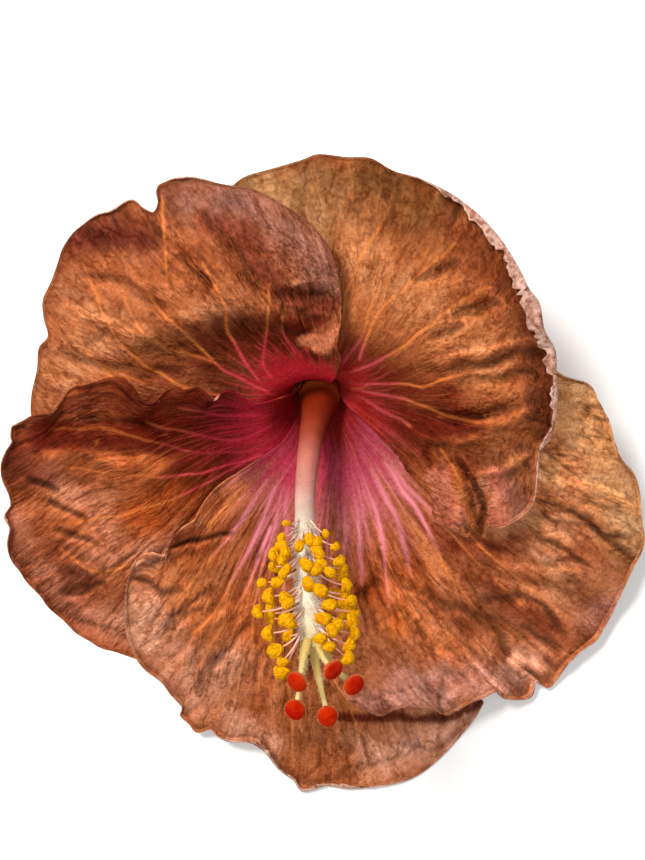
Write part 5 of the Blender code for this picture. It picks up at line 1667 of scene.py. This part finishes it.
def add_stigma(number, middle, facing, velvet):
    """A domed velvety pad with a pale fringe round its rim."""
    profile = even_line(STIGMA_PROFILE, STIGMA_RINGS)
    heights, widths = profile[:, 0] * STIGMA_THICKNESS / 2, profile[:, 1] * STIGMA_RADIUS
    turns = turns_round(STIGMA_SIDES)
    uneven = 1 + 0.05 * np.cos(2 * turns + number) + 0.03 * noise(turns * 2 + 9 * number, heights[:, None])
    rough = random.uniform(-0.07, 0.07, (STIGMA_RINGS, STIGMA_SIDES))
    radii = np.maximum(widths, 0.05)[:, None] * uneven + rough
    colours = mix(STIGMA_UNDERSIDE, STIGMA_TOP, smoothstep(-0.5, 0.9, heights))
    # Orange patches at random: partly the stigma's own orange, partly painted highlights
    glow = smoothstep(-0.5, 0.7, noise(turns * 0.9 + 5 * number, heights[:, None] * 1.2 + number))
    colours = mix(colours[:, None], STIGMA_GLOW, 0.4 * glow)
    shape = Shape()
    line = middle + facing * heights[:, None]
    rings, outwards, _ = add_rod(shape, line, radii, STIGMA_SIDES, colours, bulge=0.1)
    ring = random.integers(3, STIGMA_RINGS - 2, STIGMA_HAIRS)
    side = random.integers(0, STIGMA_SIDES, STIGMA_HAIRS)
    rise = (heights[ring] / STIGMA_THICKNESS * 2)[:, None]
    ways = outwards[ring, side] * (1 - 0.8 * np.clip(rise, 0, 1)) + facing * rise
    ways = ways + random.normal(0.0, 0.15, ways.shape)
    low = heights[ring] < 0.35 * STIGMA_THICKNESS / 2
    for chosen, (length, colour) in ((low, FRINGE), (~low, VELVET_PILE)):
        lengths = random.uniform(0.6, 1.2, int(chosen.sum())) * length
        add_hairs(shape, rings[ring, side][chosen], ways[chosen], lengths, 0.05, colour, (0.0, 0.0, 0.0))
    shape.build(f"stigma_{number}_look", f"stigma_{number}", "stigma", [velvet])


def directions_round(count):
    """Evenly spaced directions round the tube, in degrees."""
    return 360.0 * np.arange(count) / count


def calyx_radius(height):
    """The radius of the calyx's inside, which clears the petals."""
    raised = np.maximum(height, 0.0)
    return tube_radius(raised) + tuck_at(raised) + CAD_PETAL_THICKNESS + CALYX_GAP


CALYX_SEGMENTS = 140
CALYX_RINGS = 26
CALYX_RIBS = 15
# The calyx's underside, from its side to its middle: radius, and height above the lowest place
CALYX_UNDER = ((6.3, 0.9), (5.9, 0.25), (4.6, 0.0), (3.0, 0.0))
CALYX_GREEN = srgb(112, 132, 62)
CALYX_PALE = srgb(158, 168, 96)
CALYX_WINE = srgb(132, 84, 60)
CALYX_INSIDE = srgb(128, 44, 28)


def add_calyx(leafy):
    """A cup with five pointed lobes, ribbed on the outside."""
    directions = directions_round(CALYX_SEGMENTS)
    turn = ((directions - PETALS["petal_upper_left"]["direction"] - 36.0) / 72.0) % 1.0
    from_tip = np.abs(turn - np.round(turn)) * 2
    top = CALYX_LOBE_HEIGHT - (CALYX_LOBE_HEIGHT - CALYX_NOTCH_HEIGHT) * np.sin(from_tip * math.pi / 2)
    low = -CALYX_FLOOR_GAP
    floor = low - CALYX_FLOOR
    waves = np.cos(np.radians(directions) * CALYX_RIBS)
    rib = 0.16 * waves + 0.10 * noise(directions / 9, 0 * directions)
    ribbed = mix(CALYX_GREEN, CALYX_PALE, 0.6 * smoothstep(0.1, 0.9, waves))
    inner, outer, tints = [], [], []
    for share in np.linspace(0.0, 1.0, CALYX_RINGS):
        heights = low + (top - low) * share
        wall = CALYX_WALL * (1 - 0.35 * share) + rib * (0.3 + 0.7 * (1 - share))
        inner.append(tube_point(heights, calyx_radius(heights), directions))
        outer.append(tube_point(heights, calyx_radius(heights) + wall, directions))
        tints.append(mix(ribbed, CALYX_WINE, 0.5 * smoothstep(0.8, 1.0, share)))
    under = [tube_point(floor + above, radius + 0.4 * rib, directions) for radius, above in CALYX_UNDER]
    rings = np.array([*inner, *outer[::-1], *under])
    inside = [np.broadcast_to(CALYX_INSIDE, ribbed.shape)] * CALYX_RINGS
    colours = np.array([*inside, *tints[::-1], *[tints[0]] * len(under)])
    ends = [tube_point(low, 0.0, 0.0), tube_point(floor, 0.0, 0.0)]
    shape = Shape()
    shape.add(np.concatenate([rings.reshape(-1, 3), ends]),
              [face[::-1] for face in ring_faces(len(rings), CALYX_SEGMENTS)],
              np.concatenate([colours.reshape(-1, 3), [CALYX_INSIDE, CALYX_GREEN]]))
    shape.build("calyx_look", "calyx", "calyx", [leafy])


COLLAR_SIDES = 96
# How far the collar reaches out under the bracts
COLLAR_OVERLAP = 0.5
BRACT_COLUMNS = 9
BRACT_ROWS = 40
BRACT_GREEN = srgb(104, 128, 58)
BRACT_PALE = srgb(150, 164, 92)


def add_collar(shape, base):
    """The flat ring on which the bracts stand."""
    inner, outer = COLLAR_RADII
    outer += COLLAR_OVERLAP
    low = base - BRACT_THICKNESS
    corners = ((base, inner), (base, outer), (low, outer), (low, inner), (base, inner))
    rings = [tube_point(height, radius, directions_round(COLLAR_SIDES)) for height, radius in corners]
    shape.add(rings, ring_quads(len(corners), COLLAR_SIDES), BRACT_GREEN)


def add_epicalyx(leafy):
    """Narrow pointed bracts, keeled along the middle, on a flat collar."""
    base = -CALYX_FLOOR_GAP - CALYX_FLOOR - COLLAR_DROP
    shape = Shape()
    add_collar(shape, base)
    radius, rise, half_width = (column[:, None] for column in even_line(BRACT_LINE, BRACT_ROWS).T)
    across = np.linspace(-1.0, 1.0, BRACT_COLUMNS)
    keel = 0.22 * (1 - across**2) * (half_width / 1.3)
    back_height = base + rise - BRACT_THICKNESS * 0.8 - keel * 0.5
    tint = mix(BRACT_GREEN, BRACT_PALE, 0.7 * np.exp(-(across / 0.22)**2))
    tints = np.broadcast_to(tint, (2, BRACT_ROWS, BRACT_COLUMNS, 3)).reshape(-1, 3)
    for k in range(BRACTS):
        degrees = 360.0 * (k * 4 + 0.5) / (BRACTS * 4)
        turned = degrees + np.degrees(np.maximum(half_width, 0.2) * across / radius)
        face = tube_point(base + rise, radius, turned)
        back = tube_point(back_height, radius + 0.25 + keel, turned)
        shape.add([face, back], sheet_faces(BRACT_ROWS, BRACT_COLUMNS, False), tints)
    shape.build("epicalyx_look", "epicalyx", "calyx", [leafy])


STALK_SIDES = 24
STALK_RINGS = 70
STALK_COLOURS = [
    (0.0, srgb(116, 130, 66)), (0.5, srgb(122, 116, 62)), (0.93, srgb(134, 104, 60)),
    (1.0, srgb(150, 124, 78)),
]
# The rings of the cut end: how far beyond the stalk's last ring, share of its radius, and colour
CUT_RINGS = [(0.04, 0.86, srgb(206, 200, 150)), (0.06, 0.45, srgb(226, 222, 186))]


def add_stalk(leafy):
    """The short stalk, faintly ribbed, with a pale cut end."""
    x, y, z, girths = np.array(STALK).T
    line = np.stack([x, y, z], axis=-1)
    shares = np.linspace(0.0, 1.0, STALK_RINGS)
    middles = smooth_line(line, shares)
    turns = turns_round(STALK_SIDES)
    ribs = 0.03 * np.cos(5 * turns) + 0.03 * noise(turns * 1.5, shares[:, None] * 30)
    radii = np.interp(shares, line_shares(line), girths)[:, None] * (1 + ribs)
    beyond, narrower, cut_colours = zip(*CUT_RINGS)
    end_way = unit(middles[-1] - middles[-2])
    middles = np.concatenate([middles, middles[-1] + end_way * np.array(beyond)[:, None]])
    radii = np.concatenate([radii, radii[-1] * np.array(narrower)[:, None]])
    colours = np.concatenate([colours_along(STALK_COLOURS, shares), cut_colours])
    shape = Shape()
    add_rod(shape, middles, radii, STALK_SIDES, colours, bulge=0.0)
    shape.build("stalk_look", "stalk", "stalk", [leafy])


SENSOR_WIDTH = 36.0
FLOOR_REACH = 3.0
FLOOR_COLOURS = ((0.93, 0.93, 0.925, 1.0), (0.96, 0.96, 0.955, 1.0))
WORLD_STRENGTH = 0.36
# Lights: name, direction, distance and size in metres, power in watts and colour
LIGHTS = [
    ("key", (-0.40, 0.42, 0.81), 1.2, 0.38, 16.5, (1.0, 0.97, 0.93)),
    ("fill", (0.0, 0.03, 1.0), 1.2, 0.12, 4.6, (1.0, 0.98, 0.96)),
]


def add_camera():
    """A camera straight above that sees SEEN_HEIGHT on the face plane."""
    data = bpy.data.cameras.new("camera")
    data.sensor_width = SENSOR_WIDTH
    data.lens = SENSOR_WIDTH * (EYE[2] - FACE_PLANE_Z) / SEEN_HEIGHT
    data.clip_start = 0.01
    data.clip_end = 20.0
    camera = bpy.data.objects.new("camera", data)
    camera.location = (Vector(EYE) - Vector(MIDDLE)) * MM
    bpy.context.scene.collection.objects.link(camera)
    bpy.context.scene.camera = camera


def add_light(name, direction, distance, size, power, colour):
    """A round soft light that faces the origin."""
    data = bpy.data.lights.new(name, "AREA")
    data.shape = "DISK"
    data.size = size
    data.energy = power
    data.color = colour
    light = bpy.data.objects.new(name, data)
    towards = Vector(direction).normalized()
    light.location = towards * distance
    light.rotation_euler = towards.to_track_quat("Z", "Y").to_euler()
    bpy.context.scene.collection.objects.link(light)


def add_floor():
    """The pale floor, which is only part of the setting."""
    m = Nodes("floor")
    colour = m.blend(m.ramp(m.noise(m.place(), 6.0, 2.0), 0.3, 0.7), *FLOOR_COLOURS)
    mesh = bpy.data.meshes.new("floor")
    corners = [(x * FLOOR_REACH, y * FLOOR_REACH, 0) for x, y in ((-1, -1), (1, -1), (1, 1), (-1, 1))]
    mesh.from_pydata(corners, [], [(0, 1, 2, 3)])
    mesh.materials.append(m.finish(colour, 0.9))
    floor = bpy.data.objects.new("floor", mesh)
    bpy.context.scene.collection.objects.link(floor)


def add_world():
    """Even white light from all round."""
    world = bpy.data.worlds.new("studio")
    world.use_nodes = True
    background = world.node_tree.nodes["Background"]
    background.inputs["Color"].default_value = (1.0, 1.0, 1.0, 1.0)
    background.inputs["Strength"].default_value = WORLD_STRENGTH
    bpy.context.scene.world = world


add_camera()
add_floor()
add_world()
for light in LIGHTS:
    add_light(*light)
bpy.context.scene.view_settings.view_transform = "Standard"

face_height = spread_heights(FACE_HEIGHTS)
petal_skin = petal_material()
for number, name in enumerate(PETALS):
    add_petal(name, number, face_height, petal_skin)
flesh = painted_material("flesh", 300.0, 1800.0, 0.0001, 0.5)
pollen = painted_material("pollen", 900.0, 4200.0, 0.0003, 0.8)
velvet = painted_material("velvet", 900.0, 3600.0, 0.0003, 0.85)
leafy = painted_material("leafy", 250.0, 1500.0, 0.0002, 0.6)
add_column(flesh)
add_stamens(flesh, pollen)
for number, style in enumerate(STYLES, 1):
    add_style(number, style, flesh, velvet)
add_calyx(leafy)
add_epicalyx(leafy)
add_stalk(leafy)
